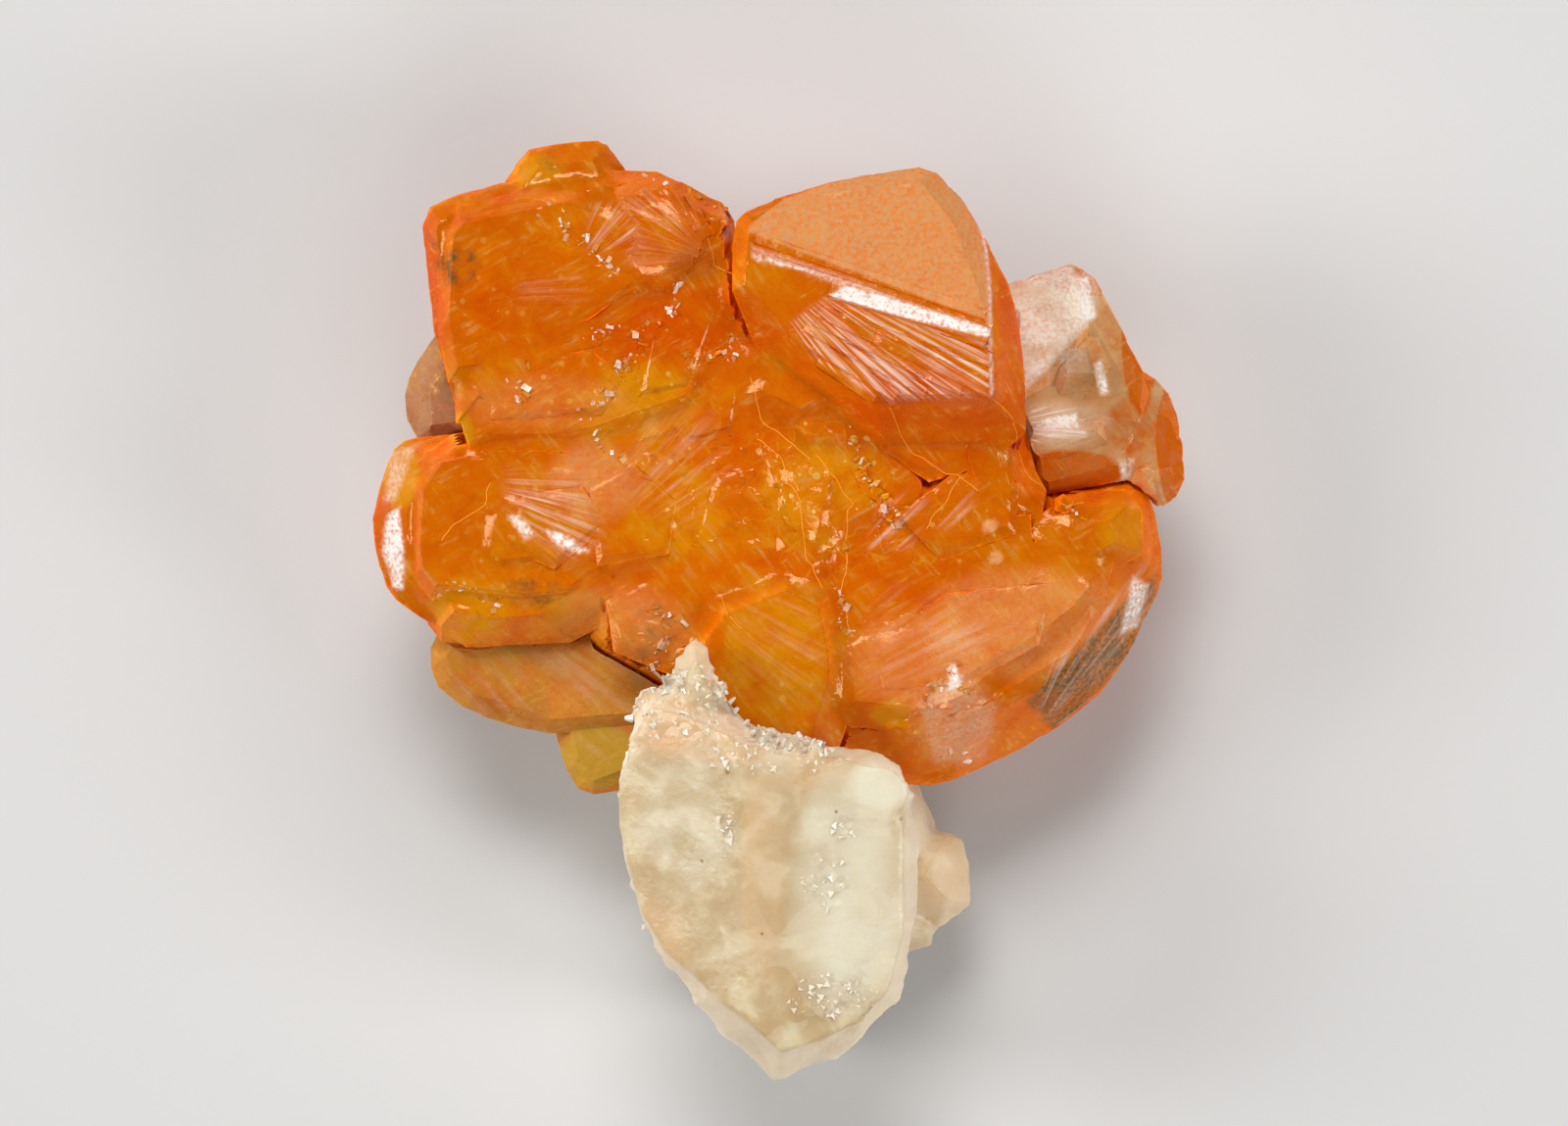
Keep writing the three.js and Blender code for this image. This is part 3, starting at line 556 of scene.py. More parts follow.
# %% [markdown]
# ## The finish of wulfenite
# Wulfenite is clear to cloudy, with a high refractive index and an almost metallic sparkle. One shader does
# all of it: part of the light passes through and is dyed by absorption on its way, and part is scattered at
# once by the cloud inside. Painted attributes say where a face is frosted, where the crystal turns honey
# yellow or ember red, and where it is smoky. Its real index of 2.3 would mirror the pale floor too much, so
# the shader has a lower one. The constants sit on the sockets themselves, so that the export keeps them.

# %% Crystal finish
# Painted highlight: this near-white is mixed into the colour where facets would flash in the key light.
PAINTED_GLINT_WHITE = (0.93, 0.86, 0.8)
CRACK_GOLD = (1, 0.42, 0.02)
STROKE_PEACH = (1, 0.42, 0.1)
SPARK_GOLD = (1, 0.62, 0.12)


def object_place(tree):
    """Object coordinates in mm."""
    place = add(tree, "ShaderNodeTexCoord").outputs["Object"]
    return add(tree, "ShaderNodeMapping", place, Scale=(1 / MM, 1 / MM, 1 / MM)).outputs[0]


def tone_of(tree, place, uneven):
    """The painted tone, made cloudy and mottled by noise, and strokes that run another way in every domain."""
    cloud = noise_texture(tree, uneven, 0.25, 1.0)
    mottle = noise_texture(tree, uneven, 0.9, 3.0)
    turned = add(tree, "ShaderNodeVectorRotate", Vector=place,
                 Angle=scaled(tree, -0.5, 0.9, maths(tree, "GREATER_THAN", cloud, 0.5))).outputs[0]
    strokes = noise_texture(tree, turned, 3.4, 3.0, stretch=(0.16, 1.3, 0.5))
    tone = maths(tree, "ADD", painted(tree, "tone"), 0.5)
    for texture, strength in ((cloud, 0.7), (mottle, 1.0), (strokes, 0.4)):
        tone = times(tree, maths(tree, "SUBTRACT", texture, 0.5), strength, tone)
    return tone, mottle, strokes


def crystal_finish(name, ember, orange, honey, frosted, smoky, clear, absorption, density):
    material, tree, surface = new_finish(
        name, IOR=1.55, Specular_IOR_Level=0.15, Specular_Tint=(1, 0.7, 0.4, 1))
    place = object_place(tree)
    uneven = warped(tree, place, 0.7, 1.6)
    frost, pearl, broken, steep = (painted(tree, label) for label in ("frost", "pearl", "broken", "steep"))
    tone, mottle, strokes = tone_of(tree, place, uneven)
    grain = noise_texture(tree, place, 5, 1.0)
    grainy = scaled(tree, 0.45, 1.45, grain, 0.3, 0.7)
    stroke = times(tree, scaled(tree, 0.0, 0.7, strokes, 0.54, 0.7), scaled(tree, 0.0, 1.0, mottle, 0.45, 0.62))
    lines = times(tree, net(tree, uneven, 0.5, 0.06), scaled(tree, -0.5, 2.0, mottle))
    facet, cell = facets(tree, place, 1.6)
    spark = maths(tree, "LESS_THAN", times(tree, cell["Distance"], 1.8, cell["Color"]), 0.6)
    # The combed lines lighten the colour as painted highlights on ribs and streaks, and raise the bump.
    comb_place = add(tree, "ShaderNodeCombineXYZ", painted(tree, "across"),
                     times(tree, painted(tree, "reach"), 0.14)).outputs[0]
    comb = noise_texture(tree, comb_place, 1.0, 3.0)
    comb_light = times(tree, scaled(tree, 0.0, 1.0, comb, 0.46, 0.66), painted(tree, "combed"))
    pearl = maths(tree, "MAXIMUM", times(tree, pearl, grainy), comb_light)
    colour = ramp(tree, tone, [(0.0, ember), (0.5, orange), (1.0, honey)])
    for share, dye in ((stroke, STROKE_PEACH), (times(tree, lines, broken), CRACK_GOLD),
                       (times(tree, spark, broken), SPARK_GOLD), (times(tree, frost, grainy), frosted),
                       (times(tree, painted(tree, "smoke"), grainy), smoky), (pearl, PAINTED_GLINT_WHITE)):
        colour = blend(tree, share, colour, dye)
    passing = clear
    for hidden, left in ((frost, 0.4), (pearl, 0.15), (steep, 0.1)):
        passing = times(tree, passing, scaled(tree, 1.0, left, hidden))
    roughness = times(tree, frost, 0.3, scaled(tree, 0.07, 0.19, grain))
    height = times(tree, grain, 0.014, times(tree, facet, scaled(tree, 0.08, 0.4, broken)))
    height = times(tree, times(tree, comb, painted(tree, "combed")), 0.05, height)
    finish_surface(tree, surface, colour, times(tree, steep, 0.3, roughness), height)
    fill(tree, surface.inputs["Transmission Weight"], passing)
    dye = add(tree, "ShaderNodeVolumeAbsorption", Color=(*absorption, 1), Density=density)
    fill(tree, tree.nodes["Material Output"].inputs["Volume"], dye.outputs[0])
    return material


orange_crystal = crystal_finish(
    "orange_crystal", ember=(0.87, 0.12, 0.001), orange=(0.94, 0.21, 0.001), honey=(0.98, 0.36, 0.003),
    frosted=(0.76, 0.36, 0.14), smoky=(0.2, 0.11, 0.03), clear=0.5, absorption=(1, 0.85, 0.1), density=50)
pale_crystal = crystal_finish(
    "pale_crystal", ember=(0.9, 0.17, 0.004), orange=(0.9, 0.46, 0.18), honey=(0.95, 0.66, 0.38),
    frosted=(0.95, 0.82, 0.64), smoky=(0.62, 0.32, 0.12), clear=0.5, absorption=(1, 0.85, 0.5), density=30)
smoky_crystal = crystal_finish(
    "smoky_crystal", ember=(0.75, 0.15, 0.02), orange=(0.6, 0.2, 0.06), honey=(0.66, 0.3, 0.04),
    frosted=(0.6, 0.36, 0.22), smoky=(0.36, 0.24, 0.15), clear=0.5, absorption=(1, 0.8, 0.4), density=40)
frosted_crystal = crystal_finish(
    "frosted_crystal", ember=(0.75, 0.12, 0.005), orange=(0.72, 0.24, 0.03), honey=(0.62, 0.38, 0.04),
    frosted=(0.74, 0.29, 0.035), smoky=(0.35, 0.2, 0.08), clear=0.4, absorption=(1, 0.85, 0.2), density=40)
print("crystal finishes:", 4)

# %% [markdown]
# ## A crystal piece
# Every crystal piece is made in the same way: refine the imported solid, press its relief in along the
# normals, paint its attributes, mark its sharp edges and let it stand for its node.

# %% Make a piece
SHARP_ANGLE = 30
EDGE_WIDTH = 0.3
EDGE_WEAR = 0.1


def bare_mesh(name, corners, faces):
    mesh = bpy.data.meshes.new(name)
    mesh.from_pydata((corners * MM).tolist(), [], faces.tolist())
    return mesh


def pressed(corners, normals, height):
    """The corners moved along their normals, but never below the floor."""
    moved = corners + normals * height[:, None]
    moved[:, 2] = np.maximum(moved[:, 2], 0)
    return moved


def dressed_piece(node, name, corners, faces, attributes, material):
    """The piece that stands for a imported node, with its painted attributes and its finish."""
    mesh = bare_mesh(name, corners, faces)
    for label, values in attributes.items():
        layer = mesh.attributes.new(label, "FLOAT", "POINT")
        layer.data.foreach_set("value", values.astype(np.float32))
    mesh.shade_smooth()
    mesh.set_sharp_from_angle(angle=math.radians(SHARP_ANGLE))
    mesh.materials.append(material)
    piece = add_object(name, mesh)
    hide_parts(node)
    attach(piece, "root")
    print(name, "has", len(faces), "triangles")
    return piece


def crystal_piece(node, name, material, longest, relief, paint, grown=None):
    corners, faces = merged_triangles(node)
    outer = distance_to(edge_points(corners, faces))
    inner = distance_to(edge_points(corners, faces, inner=True))
    corners, faces = refine(corners, faces, longest)
    normals = normals_of(corners, faces)
    if grown:
        corners = grown(corners, normals)
        normals = normals_of(corners, faces)
    from_edge, from_seam = outer(corners), inner(corners)
    nicked = np.clip(waves(corners, 0.6, 31) + 0.4 * waves(corners, 0.2, 32), 0, 1)
    worn = EDGE_WEAR * np.clip(1 - from_edge / EDGE_WIDTH, 0, 1) * nicked
    attributes = paint(corners, normals, from_edge, from_seam)
    attributes["steep"] = np.clip((0.8 - normals[:, 2]) / 0.4, 0, 1)
    corners = pressed(corners, normals, relief(corners, normals) - worn)
    return dressed_piece(node, name, corners, faces, attributes, material)


# %% [markdown]
# ## The cluster
# The large crystals that have grown through each other are one piece. Where a face has its own look, a short
# outline in mm, seen from above, says where it lies. On the striated crystal the ribs of the solid are joined
# by finer lines that fan out from the same corner. They could be cut into the mesh, but that takes very many
# triangles, so they are painted as two numbers, across and along the lines, that a noise texture reads. The
# noise raises the lines in the bump and lightens them in the colour: painted highlights on the ribs.

# %% Outlines on the striated crystal
FAN_CORNER = np.array([-3.2, 19.6])
STRIATED_FACE = [
    (-1.65, 19.1), (-1.5, 19.6), (0.25, 20.9), (2.4, 21.7), (5, 22.4), (7.6, 22.7), (8.8, 22.2), (9.8, 20.6),
    (10.35, 18.9), (10.6, 16.7), (10.65, 14.5)]
FACE_EDGE = [
    (-1.65, 19.1), (-1.5, 19.6), (0.25, 20.9), (2.4, 21.7), (7.6, 22.6), (8.8, 22.1), (9.8, 20.5),
    (10.35, 18.9), (10.6, 16.7), (10.7, 11)]
# The pale band is a painted sheen, and the bright strip, the pale blade and a line along FACE_EDGE are painted
# highlights.
LILAC_PAINTED_SHEEN_BAND = [(-1.6, 18.9), (3.3, 17), (10.6, 14.6), (10.6, 14.1), (3.3, 16.2), (-1.4, 18.1)]
BRIGHT_PAINTED_STRIP = [(2.1, 15.7), (3.4, 16.6), (7, 15.5), (10.7, 14.4), (10.7, 13.5), (6.4, 14.7)]
PAINTED_GLINT_BLADE = [(-1.5, 18.2), (-1.4, 17.8), (2.8, 16.7), (2.6, 16.95)]
RIBBED_FACE = [(0.4, 14.6), (2.2, 15.9), (10.8, 13.6), (11, 10.8), (5.4, 10.4), (1.8, 12.6)]
SMALL_FAN = [
    (-9, 19.2), (-8.4, 21.2), (-6.6, 21.8), (-4.8, 21.4), (-3.4, 19.4), (-3.7, 18), (-5.3, 16.4), (-7.6, 16.8)]
STRIATED = [
    (BRIGHT_PAINTED_STRIP, 0.25, FAN_CORNER, 90, 1.5), (RIBBED_FACE, 0.25, FAN_CORNER, 60, 0.6),
    ([(5.6, 13.6), (7.4, 14.6), (10.8, 13.6), (11, 10.8), (7.4, 10.8)], 1.4, FAN_CORNER, 60, 0.9),
    (LILAC_PAINTED_SHEEN_BAND, 0.25, FAN_CORNER, 110, 0.55), (SMALL_FAN, 1, (-3.4, 17.9), 24, 0.18)]
print("outlines of fanned lines on the striated crystal:", len(STRIATED))

# %% Fine lines, facets with painted glints and a smoky bevel on the others
# The fine lines are lightened in the colour as painted highlights, and raised in the bump.
STREAKED = [
    ([(-10, 18.2), (-9.7, 20.8), (-8, 21), (-6.8, 19.6), (-7.2, 18)], 0.6, (-10.8, 16.9), 20, 0.5),
    ([(-13.5, 15.1), (-13.4, 17.2), (-10, 17.2), (-9.2, 15.6)], 1, (-26, 15.4), 60, 0.25),
    ([(-14.2, 5.2), (-14.1, 7.6), (-9.4, 6.8), (-8.4, 3.2), (-11.4, 2)], 1.2, (-16.4, 6.8), 24, 0.5),
    ([(4.2, 3), (4.8, 5.2), (7, 6.6), (8, 5.4), (6.8, 3)], 0.8, (-1, -2.4), 26, 0.55),
    ([(7.6, 4), (8.6, 6.4), (10.2, 6.8), (9.8, 4)], 0.7, (2, -2), 22, 0.5),
    ([(3.4, -4.4), (4.4, 1.8), (9.6, 1.6), (14.4, -1.4), (9, -5)], 2, (-6, -9), 40, 0.15),
    ([(13, -5.4), (13.6, -2.6), (18.9, 3), (19.6, 0), (18.2, -3.6), (15.4, -6.4)], 0.4, (12.4, -7), 20, 0.6),
    ([(-8.6, 5.2), (-7.6, 10.4), (-3.2, 11), (-1.8, 6.4), (-4.6, 4)], 2, (-12, 1), 30, 0.2),
    ([(-3, -4.2), (-2.6, 1.6), (2.2, 2.2), (3.8, -2.4), (1.8, -5.8)], 2, (-9, 4), 40, 0.1),
    ([(-20.4, 5.4), (-19.2, 5.6), (-19, 8.6), (-18, 8.8), (-19.6, 8.6)], 0.3, (-14, -2), 60, 0.5)]
# Painted glints: outlines of facets whose colour is mixed towards white, with their strength.
PAINTED_GLINT_FACETS = [
    ([(-20, 4.95), (-19.25, 5.45), (-19, 3.2), (-19.05, 0.95), (-19.75, 1.2), (-20.3, 3.2)], 1),
    ([(-19.8, 8.3), (-18.3, 8.5), (-19.4, 5.6), (-20.2, 5.2)], 0.35),
    ([(-13.9, 4.9), (-13.1, 5), (-12.2, 3.9), (-12.9, 3.6)], 0.8),
    ([(-12.2, 4.3), (-11, 4.1), (-9.4, 3.1), (-10.2, 2.9), (-11.2, 3.2)], 0.9),
    ([(17.9, 2), (18.9, 1.4), (18.4, -0.8), (17.3, -1.4)], 0.75),
    ([(7, -4.4), (9.2, -3.2), (11.2, -5), (10.6, -7.6), (7.8, -7.8)], 0.13),
    ([(8.6, -2.8), (9, -2.5), (9.5, -3.9), (8.5, -4.1)], 1)]
SMOKY_BEVEL = [(19.1, 2.2), (17.7, 0.8), (13.9, -2.3), (12.4, -4.6), (14.2, -6.4), (17.9, -2.6), (19.6, 0.6)]
print("outlines of fine lines:", len(STREAKED), "and pearly facets:", len(PAINTED_GLINT_FACETS))

# %% [markdown]
# Inside, the crystals turn from ember red to orange and honey yellow without a border, and frost and smoke
# fade out too. Round patches with soft edges are enough for that. The middle is broken and honey yellow, and
# the big face at the lower right is frosted. The last two lists say where the front is drawn smooth, and
# along which seams small crystals glint.

# %% Round patches, smooth areas and seams
BROKEN_AREAS = [
    (-3, 6, 6, 4, 0.8), (-8, 13, 5, 2, 0.5), (7, 5.5, 5, 3, 0.4), (8.6, -5.4, 4, 1.8, 1),
    (-6, -1, 1.6, 2.4, 0.8), (-12.5, 20, 2.6, 1.4, 0.6)]
NET_AREAS = [
    (2, 6, 5, 5, 0.9), (-5.6, 9.4, 3.6, 3.6, 0.6), (0.6, -2, 3, 5, 0.35), (-14, 17, 5, 4, 0.3),
    (-10, 11, 6, 2.4, 0.5), (8, 4, 5, 3, 0.5), (8.6, -5.4, 4, 1.8, 0.9), (-13, 4, 5, 4, 0.35)]
FROST_AREAS = [
    (9, -5.6, 2.6, 2.6, 0.7), (12.5, -0.6, 6, 3.2, 0.45), (7, -2.6, 4, 2.6, 0.35), (-9.4, 6.6, 2.6, 2.4, 0.4),
    (-8, -0.8, 4, 2.4, 0.35), (10.65, 4.35, 0.45, 0.4, 1), (11, 2.75, 0.4, 0.4, 1), (-12, 10.6, 5, 1.6, 0.2),
    (9.4, 11, 2, 1, 0.2)]
HONEY_AREAS = [
    (-12.6, 22.4, 1.6, 1, 0.9), (-10.4, -0.6, 3, 2, 0.5), (-7.2, 10, 3.4, 3.2, 0.6), (-5.4, 5, 3, 3, 0.5),
    (0, -2, 3.6, 4.6, 0.45), (-15.8, 0, 2.4, 2, 0.6), (5.7, -5.2, 1.3, 0.8, 0.9), (-19.2, 6.9, 1, 1.9, 1.2),
    (-16.1, 9.2, 0.8, 1, 1), (1.4, 5.6, 2.6, 4, 0.45), (-12, 2.4, 4, 3, 0.2), (17.4, 4.6, 1.4, 2, 0.5),
    (4, 7, 2, 2, 0.4)]
EMBER_AREAS = [
    (-18, 16, 1, 5, 0.8), (12, 14, 1.2, 6, 0.5), (7.4, 9.4, 5, 3, 0.35), (-4.6, 14.6, 5, 2.4, 0.4),
    (1.2, 2.4, 3.6, 1, 0.4), (8.6, 1.6, 3.6, 1.6, 0.2), (13, 8, 1.6, 3.4, 0.3), (-13, 15, 3, 2, 0.2)]
SMOKE_AREAS = [
    (-17.3, 18.9, 0.5, 0.5, 0.6), (-16.3, 17.5, 1.2, 1.1, 0.8), (-11.8, 22.7, 1, 0.5, 0.4),
    (-12.6, 0.9, 2.2, 0.9, 0.4), (-6.4, -1.6, 1.4, 2.2, 0.3)]
SOFT_AREAS = [
    [(-16.8, 9), (-16.8, 19.5), (-9.5, 19.5), (-7, 14), (-7, 11)],
    [(2.6, 3.6), (16.4, 3.6), (16.6, 0), (3.4, -2.4)], [(-14, 21.2), (-14, 23.4), (-8, 23.4), (-8, 21.2)],
    [(-16.6, 2), (-16.6, 6), (-14.1, 6), (-14.1, 2)], [(-2.8, 10.8), (-2.8, 13.8), (0.2, 13.8), (0.2, 10.8)],
    [(-18, 7), (-18, 9.4), (-9, 9.4), (-9, 6.4)], [(-9.6, 16.6), (-9.4, 21.6), (-3.8, 21.2), (-3.6, 17)]]
GLINT_ROUTES = [
    [(-13, 19.5), (-12.2, 20), (-11.2, 20.6), (-10.8, 19.2)], [(-10.2, 19), (-9.4, 18.4), (-8, 17)],
    [(-9.7, 14.2), (-7.2, 14.3), (-5.6, 14.4), (-5.3, 16.5)], [(-6.8, 13.6), (-7.8, 12.1), (-9.9, 10.2)],
    [(-9.9, 10.2), (-8.9, 8.2), (-8, 7.7)], [(-12.7, 12.6), (-13.5, 11.8), (-12.7, 10.4)],
    [(-4.4, 12.8), (-2.5, 12.9), (-2.4, 14.3)], [(-6.4, 22.2), (-4.2, 21.1), (-2.8, 20.3)],
    [(3.7, 9.1), (4.3, 6.9), (4.9, 5.8), (6.5, 5.2), (5.1, 3.9)], [(14.6, 5.6), (15.4, 4.9)],
    [(-7.5, 0.4), (-5.4, -0.5), (-6.1, -2.7), (-7.4, -3.2)], [(-17.6, 1.1), (-15.4, 1.1), (-14.3, 0.3)],
    [(7, -5), (8.8, -3), (10.4, -5), (10.2, -7), (8.2, -7.4)], [(3.4, 3), (3, 0.8), (3.5, -1.4)]]
print("round patches of honey and ember:", len(HONEY_AREAS), len(EMBER_AREAS))

# %% Relief and colours of the cluster


def grown_together(corners, normals):
    corners = close_valleys(corners, normals, VALLEY_REACH, 0.8)
    softened = np.max([patch(corners, area, 1) for area in SOFT_AREAS], axis=0)
    return levelled(corners, VALLEY_REACH, 0.9 * softened)


def cluster_relief(corners, normals):
    front = turned_up(normals, 1.6, 0.4)
    return (0.04 * waves(corners, 2.2, 1) + 0.02 * waves(corners, 0.9, 2)
            + front * spots(corners, BROKEN_AREAS) * mosaic(corners, 0.9, 10, 20))


def cluster_paint(corners, normals, from_edge, from_seam):
    front = turned_up(normals, 1.6, 0.4)
    soft = 1 + 0.35 * waves(corners, 1.1, 5) + 0.2 * waves(corners, 0.4, 4)
    # Painted shade: steep faces high on the cluster are darkened towards ember red in the tone.
    steep = np.clip(0.8 - normals[:, 2], 0, 1) * np.clip(corners[:, 2] / 6, 0, 1)
    tone = 0.7 * spots(corners, HONEY_AREAS) - 0.8 * spots(corners, EMBER_AREAS) - 0.5 * steep
    # The frost on the striated crystal's face is real, and its pale peach also stands in for the soft sheen of
    # the key light: partly painted sheen.
    face = patch(corners, STRIATED_FACE, 0.15) * np.clip((normals[:, 2] - 0.4) / 0.2, 0, 1)
    upward = turned_up(normals, 4, 0.6)
    # Painted highlights: the glint outlines, the pale band, the bright strip, the pale blade and a line along
    # the face's edge mix white into the colour.
    torn = np.clip(1.4 + 1.2 * waves(corners, 0.55, 43), 0.65, 1)
    pearl = [patch(corners, outline, 0.2) * strength * torn for outline, strength in PAINTED_GLINT_FACETS]
    pearl += [0.45 * patch(corners, LILAC_PAINTED_SHEEN_BAND, 0.3) * front, patch(corners, BRIGHT_PAINTED_STRIP, 0.2),
              0.9 * patch(corners, PAINTED_GLINT_BLADE, 0.15), 0.6 * along(corners, [FACE_EDGE[5:]], 0.16)]
    inside = np.clip(from_edge - 0.9, 0, 1) * np.clip(from_seam - 0.9, 0, 1)
    blotched = np.clip(0.5 + 1.5 * waves(corners, 0.5, 39), 0, 1.4)
    smoke = np.maximum(spots(corners, SMOKE_AREAS) * blotched * upward,
                       0.8 * patch(corners, SMOKY_BEVEL, 0.3) * soft * upward)
    comb = combed(corners, STRIATED + STREAKED)
    comb["combed"] *= front
    return {"frost": np.clip(0.75 * face + spots(corners, FROST_AREAS) * front * soft, 0, 1),
            "tone": tone * soft, "pearl": upward * np.max(pearl, axis=0), "smoke": np.clip(smoke, 0, 1),
            "chips": along(corners, GLINT_ROUTES, 0.45) * front, **comb,
            "broken": np.clip(spots(corners, NET_AREAS) * soft, 0, 1) * front,
            "veils": front * (corners[:, 2] > 10) * inside}


# %% Build the cluster


def cluster_detail(middle):
    """Edges shorten towards the front, and most of all on the ribs and along the striated face's edge."""
    fine = [patch(middle, RIBBED_FACE), patch(middle, LILAC_PAINTED_SHEEN_BAND), along(middle, [FACE_EDGE], 0.4)]
    fine = np.max(fine, axis=0) * (middle[:, 2] > 14)
    return np.where(fine > 0, 0.16, fine_at_front(0.39, 1, 5, 10)(middle))


cluster = crystal_piece("main_cluster", "wulfenite_cluster", orange_crystal,
                        cluster_detail, cluster_relief, cluster_paint, grown_together)

# %% [markdown]
# ## The crystals beside the cluster
# The group at the right is paler, almost colourless in its middle, with silvery faces and an orange rim. The
# small crystal at the left is smoky, and the plates at the lower left are frosted and turn yellow-green at
# their lower end. They share the cluster's shader with other colours, so that all of them stay one mineral.

# %% Right, smoky and lower left crystals
RIM_AREAS = [
    (16.6, 16.8, 3.4, 0.8, 1), (18.4, 13.6, 1, 3.6, 1), (20.5, 8.6, 1.3, 3.8, 1.6), (18.4, 9.6, 2, 1.8, 0.3),
    (12, 17.4, 2, 0.8, 1), (14.8, 7.1, 2.8, 1.2, 0.9)]
BROWN_FACETS = [(13.6, 13.8), (15.8, 14.4), (16.8, 12.4), (16.4, 10.6), (13.4, 10.8)]
SILVER_FACE = [(11, 17.2), (15, 17.8), (16.3, 15.1), (13.9, 12.4), (12, 10.6), (11, 12)]
SILVER_AREAS = [(14.6, 9.6, 2.6, 1.4, 0.4), (15.6, 16.2, 0.8, 1.6, 0.6)]
# Painted glints: these facets of the right group are mixed towards white in the colour.
RIGHT_PAINTED_GLINTS = [
    (SILVER_FACE, 0.35), ([(14, 13.4), (15.6, 13.6), (16, 12), (14.2, 11.8)], 0.25),
    ([(15.1, 17), (15.8, 17.2), (16.2, 14.9), (15.4, 14.6)], 1),
    ([(12.8, 9.2), (13.4, 9.9), (15.2, 10.2), (15.4, 9.2)], 1),
    ([(15.9, 12.6), (16.5, 13), (16.9, 11), (16.3, 10.9)], 0.8),
    ([(17.2, 7.8), (18.2, 7.9), (17.9, 6.7), (17.4, 6.6)], 0.9)]
GREEN_AREAS = [(-9.2, -7.4, 2.2, 1.8, 1)]
RIGHT_STREAKED = [
    ([(11.6, 17.4), (12.6, 11), (15, 11), (15.2, 17.4)], 0.6, (13, 40), 120, 0.3),
    ([(12.6, 8.4), (12.6, 10.6), (15.6, 10.4), (15.8, 8.8)], 0.3, (11, 9.4), 14, 0.8)]
PLATE_STREAKED = [([(-17.5, -1.5), (-17.5, -7), (-5, -8), (-5, -1.5)], 0.4, (-30, 12), 50, 0.1)]


def side_relief(corners, normals):
    return 0.03 * waves(corners, 1.8, 2) + 0.01 * waves(corners, 0.6, 3) + 0.5 * mosaic(corners, 1.8, 2, 40)


def right_paint(corners, normals, from_edge, from_seam):
    # Painted shade: steep faces are darkened in the tone.
    steep = np.clip(0.75 - normals[:, 2], 0, 1) * 0.5
    torn = np.clip(1 + 0.9 * waves(corners, 1.1, 44), 0.5, 1) * turned_up(normals, 4, 0.6)
    pearl = [patch(corners, outline, 0.2) * strength for outline, strength in RIGHT_PAINTED_GLINTS]
    frost = 0.75 * patch(corners, SILVER_FACE, 0.5) * torn + 0.8 * spots(corners, SILVER_AREAS) * torn
    brown = patch(corners, BROWN_FACETS, 0.4) * np.clip(0.6 + 0.8 * waves(corners, 0.8, 46), 0, 1)
    return {"frost": np.clip(frost, 0, 1), "tone": -1.3 * spots(corners, RIM_AREAS) - steep,
            "pearl": np.max(pearl, axis=0) * torn,
            "smoke": 0.9 * brown + 0.3 * np.clip(waves(corners, 1.5, 6) + 0.5 * waves(corners, 0.5, 7), 0, 1),
            "broken": 0.3 + 0.3 * waves(corners, 2, 35), **combed(corners, RIGHT_STREAKED)}


def smoky_paint(corners, normals, from_edge, from_seam):
    return {"frost": 0.3 + 0.2 * waves(corners, 1, 7), "tone": 0.3 * waves(corners, 2, 8),
            "pearl": 0 * corners[:, 0], "smoke": 0.6 * np.clip(waves(corners, 1.4, 9), 0, 1),
            "broken": 0.3 + 0.3 * waves(corners, 2, 36), **combed(corners, [])}


def lower_left_paint(corners, normals, from_edge, from_seam):
    return {"frost": 0.35 + 0.3 * waves(corners, 1.6, 11), "tone": spots(corners, GREEN_AREAS),
            "pearl": 0 * corners[:, 0], "smoke": np.clip(waves(corners, 1.2, 12) - 0.3, 0, 1) * 0.3,
            "broken": 0.2 + 0.2 * waves(corners, 2, 37), **combed(corners, PLATE_STREAKED)}


crystal_piece("right_crystals", "right_crystal_group", pale_crystal,
              fine_at_front(0.18, 0.5, 3, 7), side_relief, right_paint)
crystal_piece("smoky_crystal", "smoky_crystal_piece", smoky_crystal,
              fine_at_front(0.15, 0.3, 4, 6), side_relief, smoky_paint)
crystal_piece("lower_left_crystal", "lower_left_plates", frosted_crystal,
              fine_at_front(0.17, 0.4, 4, 6), side_relief, lower_left_paint)

# %% [markdown]
# ## Crystals that repeat
# Hundreds of small tablets sit in the seams between the large crystals. Placed by hand they would look
# arranged, so geometry nodes grow them on the cluster's own surface, as dense as a painted attribute asks, each
# turned and sized by chance from a fixed seed. The result is made a plain mesh.

# %% Grow with a tree


def new_tree(name, **sizes):
    """A geometry tree with a mesh to grow on and named sizes, and its input sockets."""
    tree = bpy.data.node_groups.new(name, "GeometryNodeTree")
    tree.interface.new_socket("Mesh", in_out="INPUT", socket_type="NodeSocketGeometry")
    for label, kind in sizes.items():
        tree.interface.new_socket(label, in_out="INPUT", socket_type="NodeSocket" + kind)
    tree.interface.new_socket("Grown", in_out="OUTPUT", socket_type="NodeSocketGeometry")
    return tree, tree.nodes.new("NodeGroupInput").outputs


def finish_tree(tree, geometry, material):
    real = add(tree, "GeometryNodeRealizeInstances", geometry).outputs[0]
    done = add(tree, "GeometryNodeSetMaterial", real, Material=material).outputs[0]
    tree.links.new(done, tree.nodes.new("NodeGroupOutput").inputs[0])


def chance(tree, low, high, seed):
    vector = isinstance(low, tuple)
    made = add(tree, "FunctionNodeRandomValue", Seed=seed,
               settings={"data_type": "FLOAT_VECTOR" if vector else "FLOAT"})
    for socket, value in zip(made.inputs[0 if vector else 2:], (low, high)):
        fill(tree, socket, value)
    return made.outputs[0 if vector else 1]


def field(tree, name):
    return add(tree, "GeometryNodeInputNamedAttribute", name).outputs[0]


